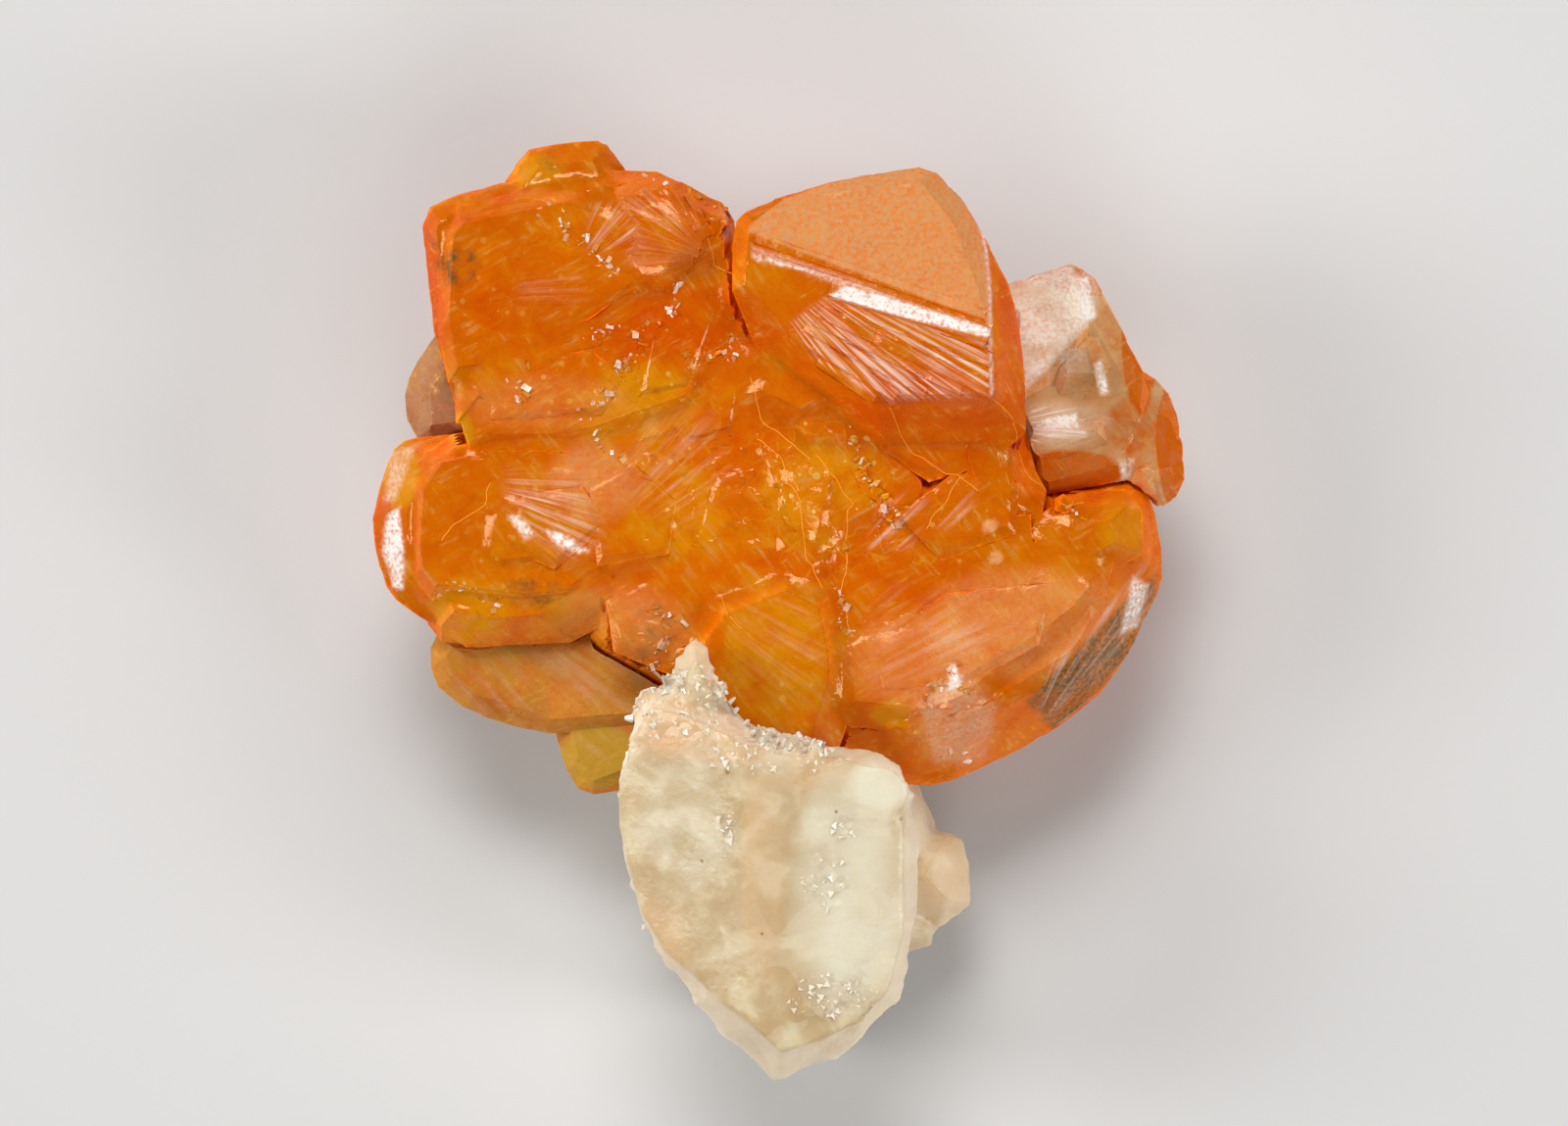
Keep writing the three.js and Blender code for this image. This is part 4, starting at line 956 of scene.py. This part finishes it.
def strewn(tree, inputs, attribute, shape, stretch, tilt):
    """Copies of a shape on the mesh, as dense as an attribute says, each turned and sized by chance."""
    density = maths(tree, "MULTIPLY", inputs["Density"], field(tree, attribute))
    points = add(tree, "GeometryNodeDistributePointsOnFaces", inputs["Mesh"],
                 Density=density, Seed=inputs["Seed"])
    turned = add(tree, "FunctionNodeRotateRotation", points.outputs["Rotation"],
                 chance(tree, (-tilt, -tilt, -3.0), (tilt, tilt, 3.0), 1), settings={"rotation_space": "LOCAL"})
    size = maths(tree, "MULTIPLY", inputs["Size"], maths(tree, "POWER", chance(tree, 0.4, 1.0, 2), 2.5))
    sized = add(tree, "ShaderNodeVectorMath", chance(tree, (1, stretch[0], stretch[1]), (1, 1, stretch[1]), 3),
                Scale=size, settings={"operation": "SCALE"}).outputs[0]
    copies = add(tree, "GeometryNodeInstanceOnPoints", points.outputs[0], Instance=shape,
                 Rotation=turned.outputs[0], Scale=sized)
    return copies.outputs[0], points.outputs["Normal"]


def stored(tree, geometry, name, low, high, seed):
    """Gives each copy a painted value of its own."""
    value = chance(tree, low, high, seed)
    return add(tree, "GeometryNodeStoreNamedAttribute", geometry, Name=name, Value=value,
               settings={"data_type": "FLOAT", "domain": "INSTANCE"}).outputs[0]


def grow(name, carrier, tree, slot, **sizes):
    piece = add_object(name, carrier.data)
    modifier = piece.modifiers.new(tree.name, "NODES")
    modifier.node_group = tree
    for item in tree.interface.items_tree:
        if item.name in sizes:
            modifier[item.identifier] = sizes[item.name]
    evaluated = piece.evaluated_get(bpy.context.evaluated_depsgraph_get())
    mesh = bpy.data.meshes.new_from_object(evaluated)
    piece.modifiers.clear()
    piece.data = mesh
    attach(piece, "root")
    mesh.calc_loop_triangles()
    print(name, "has", len(mesh.loop_triangles), "triangles")
    return piece


# %% Tablets in the seams
tablets, inputs = new_tree("tablets", Density="Float", Size="Float", Seed="Int")
tablet = add(tablets, "GeometryNodeMeshCube", (1.0, 0.8, 0.3)).outputs[0]
copies, _ = strewn(tablets, inputs, "chips", tablet, (0.3, 1.0), 0.6)
# Painted glints: some tablets get white mixed into their colour.
copies = stored(tablets, copies, "pearl", -0.9, 0.9, 5)
copies = stored(tablets, copies, "tone", 0.0, 0.8, 6)
copies = stored(tablets, copies, "frost", 0.0, 0.5, 7)
finish_tree(tablets, copies, orange_crystal)
grow("seam_tablets", cluster, tablets, "orange_crystal", Density=12 / MM**2, Size=0.5 * MM, Seed=3)

# %% [markdown]
# Old cracks run through the specimen as thin golden threads. A texture would be too soft for them. Each is
# drawn as a broken line seen from above, shaken a little, dropped on to the cluster and given a round section
# by a tree.

# %% Golden cracks
CRACK_LINES = [
    [(-1.6, 11.8), (-0.9, 9.9), (0.2, 8.8), (1.5, 7.6)],
    [(1.8, 7.9), (2.9, 6.9), (3.6, 5.5), (3.4, 3), (3.1, 0.8), (3.6, -1.4)],
    [(5.7, 10.4), (6, 9.1), (6.8, 8), (9.5, 6.6), (10.1, 6.1)],
    [(10.9, 10.7), (11.8, 9.9), (12, 8.5), (12.8, 6.9), (13.9, 5.6), (15.4, 5.4)],
    [(0, 7.2), (1, 5.5), (1.4, 3), (2.1, 1.1)], [(-2.8, 0.9), (-2.5, -0.2), (-1.7, -1.1)],
    [(-14.5, 6.6), (-15, 5.5), (-16.5, 4.4), (-17, 3.4)], [(-1, 8.9), (0.6, 7), (0.9, 5.8)],
    [(-3.5, 18.9), (-3.2, 17.6), (-2.2, 17.1), (-1.9, 16.4)], [(7.4, 4.2), (8.6, 5.8), (9.3, 7)]]


def dropped(lines, piece, step, shake):
    """A mesh of short edges along lines in the plane, dropped on to a piece from above."""
    surface = BVHTree.FromPolygons([corner.co for corner in piece.data.vertices],
                                   [face.vertices for face in piece.data.polygons])
    wire = bmesh.new()
    for line in lines:
        last = None
        for start, end in itertools.pairwise(np.array(line)):
            for share in np.arange(0, 1, step / np.linalg.norm(end - start)):
                place = start + share * (end - start)
                flat = np.array([[*place, 0.0]])
                place = place + shake * np.array([waves(flat, 0.7, 41)[0], waves(flat, 0.7, 42)[0]])
                found = surface.ray_cast(Vector((*place, 40)) * MM, Vector((0, 0, -1)))[0]
                if found:
                    corner = wire.verts.new(found)
                    if last:
                        wire.edges.new((last, corner))
                    last = corner
    made = bpy.data.meshes.new("threads")
    wire.to_mesh(made)
    wire.free()
    return made


threads, inputs = new_tree("threads", Width="Float")
section = add(threads, "GeometryNodeCurvePrimitiveCircle", Resolution=5, Radius=inputs["Width"]).outputs[0]
path = add(threads, "GeometryNodeMeshToCurve", inputs["Mesh"]).outputs[0]
tube = add(threads, "GeometryNodeCurveToMesh", path, Profile_Curve=section, Fill_Caps=True).outputs[0]
finish_tree(threads, tube, plain_finish("crack_gold", (0.95, 0.33, 0.02), 0.4))
route = add_object("crack_route", dropped(CRACK_LINES, cluster, 0.25, 0.18))
grow("golden_cracks", route, threads, "orange_crystal", Width=0.022 * MM)
bpy.data.objects.remove(route)

# %% [markdown]
# Healed cracks also hang inside the clear crystals as veils that catch the light. Flat lenses, grown like the
# tablets and then moved inwards, show through the faces above them.

# %% Veils inside the crystals
veil_finish = plain_finish("inner_veil", (1, 0.45, 0.08), 0.3, Transmission_Weight=0.3)
veils, inputs = new_tree("veils", Density="Float", Size="Float", Depth="Float", Seed="Int")
lens = add(veils, "GeometryNodeMeshUVSphere", Segments=10, Rings=4, Radius=1.0).outputs[0]
copies, normal = strewn(veils, inputs, "veils", lens, (0.3, 0.012), 0.35)
depth = maths(veils, "MULTIPLY", inputs["Depth"], chance(veils, -1.0, -0.4, 8))
inward = add(veils, "ShaderNodeVectorMath", normal, Scale=depth, settings={"operation": "SCALE"}).outputs[0]
copies = add(veils, "GeometryNodeTranslateInstances", copies, Translation=inward, Local_Space=False).outputs[0]
finish_tree(veils, copies, veil_finish)
grow("inner_veils", cluster, veils, "orange_crystal", Density=3 / MM**2, Size=0.9 * MM, Depth=1.6 * MM, Seed=5)

# %% [markdown]
# ## The calcite
# Calcite is soft and breaks along three flat directions into leaning blocks. Its broken faces are pearly, its
# body lets light in and glows cream, with peach stains on the left and along the ridge and small rust specks.
# Light has to travel inside it, so it has subsurface scattering with a reach of a few millimetres, where a
# clear glass shader would look wet.

# %% Calcite finish
TAN = (0.49, 0.33, 0.15)
SAND = (0.54, 0.39, 0.2)
CREAM = (0.66, 0.54, 0.34)
PALE_CREAM = (0.72, 0.63, 0.46)
PEACH = (0.7, 0.45, 0.24)
MILKY = (0.75, 0.7, 0.54)
RUST = (0.35, 0.16, 0.06)
# Painted light: the light cream given to walls that the lamps leave in shade.
RIM_LIGHT_PAINT = (1, 0.86, 0.66)


def calcite_finish():
    material, tree, surface = new_finish(
        "cream_calcite", Subsurface_Weight=0.55, Subsurface_Radius=(2.2, 1.6, 1), Subsurface_Scale=MM, IOR=1.6)
    place = object_place(tree)
    mottle = noise_texture(tree, place, 0.5, 4.0, 0.6)
    grain = noise_texture(tree, place, 3.0, 3.0)
    zone = cells(tree, warped(tree, place, 0.8, 0.9), 0.4)["Color"]
    rust = maths(tree, "LESS_THAN", cells(tree, place, 0.55)["Distance"], 0.07)
    colour = ramp(tree, mottle, [(0.36, TAN), (0.5, SAND), (0.62, CREAM)])
    # The stains and rust are the calcite's own; the last colour is painted light on its steep walls.
    for share, stain in ((times(tree, zone, 0.45), PALE_CREAM), (painted(tree, "peach"), PEACH),
                         (painted(tree, "grey"), MILKY), (times(tree, rust, 0.75), RUST),
                         (painted(tree, "rim"), RIM_LIGHT_PAINT)):
        colour = blend(tree, share, colour, stain)
    facet, _ = facets(tree, place, 2.6)
    height = times(tree, facet, scaled(tree, 0.09, 0.6, painted(tree, "sparkle")))
    finish_surface(tree, surface, colour, scaled(tree, 0.28, 0.5, grain), times(tree, grain, 0.05, height))
    return material


cream_calcite = calcite_finish()

# %% [markdown]
# The soft edges of calcite would take many bevels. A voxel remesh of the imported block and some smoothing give
# them at once, in even small triangles that carry the relief: waves, flutes down its sides, a torn fringe at
# its upper edge and mosaics along leaning axes for the cleavage steps.

# %% Stains, crumbly edges and cleavage sparkle
PEACH_AREAS = [
    (-5.8, -5.6, 2.4, 1.8, 0.6), (-0.8, -13, 1.3, 6.6, 0.35), (-7, -17, 3, 3, 0.4), (9, -14.6, 2, 2.6, 0.4),
    (-3, -6.4, 4, 1.6, 0.35), (1.6, -8, 2.4, 1.2, 0.3)]
GREY_AREAS = [(3.6, -14, 3.4, 7, 0.7), (5.2, -8.6, 1.8, 1.6, 0.6), (-4.6, -10.6, 2.6, 3.6, 0.3)]
CRUMBLY_AREAS = [(-6.4, -5.4, 1.4, 2, 0.6), (0, -6.4, 4, 0.9, 0.5), (-0.8, -14, 0.7, 6, 0.12)]
TOOTH_ROUTES = [
    [(-7.4, -3.6), (-7.7, -5), (-8, -6.4), (-7.8, -7.6)], [(-6.9, -3.5), (-6, -3.4), (-5.2, -3.8)],
    [(-3, -3.6), (-2, -4.8), (-0.8, -5.9), (0.6, -6.7), (2, -6.4), (3.4, -6.2)]]
SPARKLE_AREAS = [
    (3.2, -10.8, 0.8, 0.9, 1), (2.4, -13.6, 1.4, 1.8, 1), (2.8, -19.4, 2.8, 1.3, 1),
    (-2.8, -10.8, 0.5, 1.6, 0.8), (-5, -4.6, 2.6, 2.2, 0.8), (0, -7, 4, 1.4, 0.6)]
FRINGE_ROUTES = [
    [(-6, -3.6), (-7.6, -4.4), (-8.2, -7.4), (-9, -10.4)], [(-3, -3.4), (-1.6, -5), (0, -6.2), (3.6, -6)]]
BLOCK_CORNER = [(1.2, -5.5), (0.8, -9.4), (2, -12), (8, -12), (8, -5.5)]
RIGHT_FACE = [(1.6, -11.2), (5.6, -11.2), (5, -17), (2, -17)]
FRONT_LEVEL = 13
VOXEL = 0.155 * MM
SMOOTHINGS = 12


# %% Shape the calcite


def remeshed(node, voxel):
    """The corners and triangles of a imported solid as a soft-edged skin of even small squares."""
    copy = add_object("calcite_copy", bare_mesh("calcite_copy", *merged_triangles(node)))
    modifier = copy.modifiers.new("remesh", "REMESH")
    modifier.mode = "VOXEL"
    modifier.voxel_size = voxel
    modifier.adaptivity = 0
    smooth = copy.modifiers.new("smooth", "SMOOTH")
    smooth.factor = 0.5
    smooth.iterations = SMOOTHINGS
    made = bpy.data.meshes.new_from_object(copy.evaluated_get(bpy.context.evaluated_depsgraph_get()))
    bpy.data.objects.remove(copy)
    made.calc_loop_triangles()
    points = np.array([corner.co for corner in made.vertices]) / MM
    triangles = np.array([triangle.vertices for triangle in made.loop_triangles])
    return points, triangles


def planed(corners, normals, source, area, step):
    """The corners over an area, cut down to the plane of the face next to it but for a low step in mm."""
    face = (patch(corners, source) > 0) & (normals[:, 2] > 0.8) & (corners[:, 2] > FRONT_LEVEL)
    flat = np.c_[corners[:, :2], np.ones(len(corners))]
    level = flat @ np.linalg.lstsq(flat[face], corners[face, 2], rcond=None)[0] + step
    cut = np.maximum(corners[:, 2] - level, 0) * patch(corners, area, 0.3)
    print("block cut down by up to", round(float(cut.max()), 2), "mm")
    return corners - cut[:, None] * (0, 0, 1)


def calcite_relief(corners, normals):
    leaning = corners @ np.array([[1, 0.27, 0], [0.27, 1, 0.27], [0, 0.27, 1]])
    rugged = np.clip(0.9 - 1.2 * normals[:, 2] + spots(corners, CRUMBLY_AREAS), 0.1, 1)
    upright = np.clip(1 - normals[:, 2], 0, 1)
    flutes = np.abs(waves(corners * (1, 1, 0.15), 1.7, 16))
    flutes += 0.2 * np.abs(waves(corners * (1, 1, 0.4), 0.5, 17))
    fringe = np.clip(upright * 1.5, 0, 1) * along(corners, FRINGE_ROUTES, 1.6)
    fringe *= np.abs(waves(corners, 0.6, 19))
    return (0.06 * waves(corners, 2.4, 13) + 0.02 * waves(corners, 0.9, 12)
            - 0.5 * upright * flutes - 0.5 * fringe
            + rugged * (mosaic(leaning, 1.3, 6, 60) * 0.6 + mosaic(leaning, 0.5, 14, 70) * 0.6))


corners, faces = remeshed("calcite_matrix", VOXEL)
normals = normals_of(corners, faces)
corners = planed(corners, normals, RIGHT_FACE, BLOCK_CORNER, 0.12)
normals = normals_of(corners, faces)
soft = 1 + 0.5 * waves(corners, 1.5, 15)
# Painted light: steep walls high on the block are lightened towards a lit cream, and take a little peach from
# it.
rim = np.clip(1.1 - 1.3 * normals[:, 2], 0, 1) * np.clip(corners[:, 2] / 4 - 0.8, 0, 1)
matrix_attributes = {"peach": np.clip(spots(corners, PEACH_AREAS) * soft + 0.2 * rim, 0, 1), "rim": rim,
                     "grey": np.clip(spots(corners, GREY_AREAS) * soft, 0, 1),
                     "sparkle": np.clip(spots(corners, SPARKLE_AREAS) * soft, 0, 1) * (normals[:, 2] > 0.4),
                     "teeth": along(corners, TOOTH_ROUTES, 0.6) * (normals[:, 2] > 0.2) * (corners[:, 2] > 9)}
corners = pressed(corners, normals, calcite_relief(corners, normals))
matrix = dressed_piece("calcite_matrix", "calcite_block", corners, faces, matrix_attributes,
                       cream_calcite)

# %% [markdown]
# Two crops of small calcite pieces grow on the block in the same way as the tablets: leaning teeth along its
# broken upper edge, and thin bright cleavage flakes where it sparkles.

# %% Teeth and flakes
teeth, inputs = new_tree("teeth", Density="Float", Size="Float", Seed="Int")
tooth = add(teeth, "GeometryNodeMeshCone", Vertices=5, Radius_Top=0.2, Radius_Bottom=0.45, Depth=0.7).outputs[0]
copies, _ = strewn(teeth, inputs, "teeth", tooth, (0.5, 1.0), 0.6)
copies = stored(teeth, copies, "peach", 0.2, 0.7, 6)
# Painted light: every tooth is lightened towards the lit rim colour, so the small pieces don't look shaded
# grey.
copies = stored(teeth, copies, "rim", 0.5, 1.0, 7)
finish_tree(teeth, copies, cream_calcite)
grow("calcite_teeth", matrix, teeth, "calcite", Density=5 / MM**2, Size=0.7 * MM, Seed=7)

flakes, inputs = new_tree("flakes", Density="Float", Size="Float", Seed="Int")
flake = add(flakes, "GeometryNodeMeshCone",
            Vertices=3, Radius_Top=0.6, Radius_Bottom=0.75, Depth=0.25).outputs[0]
copies, _ = strewn(flakes, inputs, "sparkle", flake, (0.3, 1.0), 0.5)
# The flakes are real and glossy, and their colour is lighter than the block's own: partly painted sparkle.
finish_tree(flakes, copies, plain_finish("cleavage_flake", (0.82, 0.75, 0.6), 0.12))
grow("cleavage_flakes", matrix, flakes, "calcite", Density=9 / MM**2, Size=0.4 * MM, Seed=9)
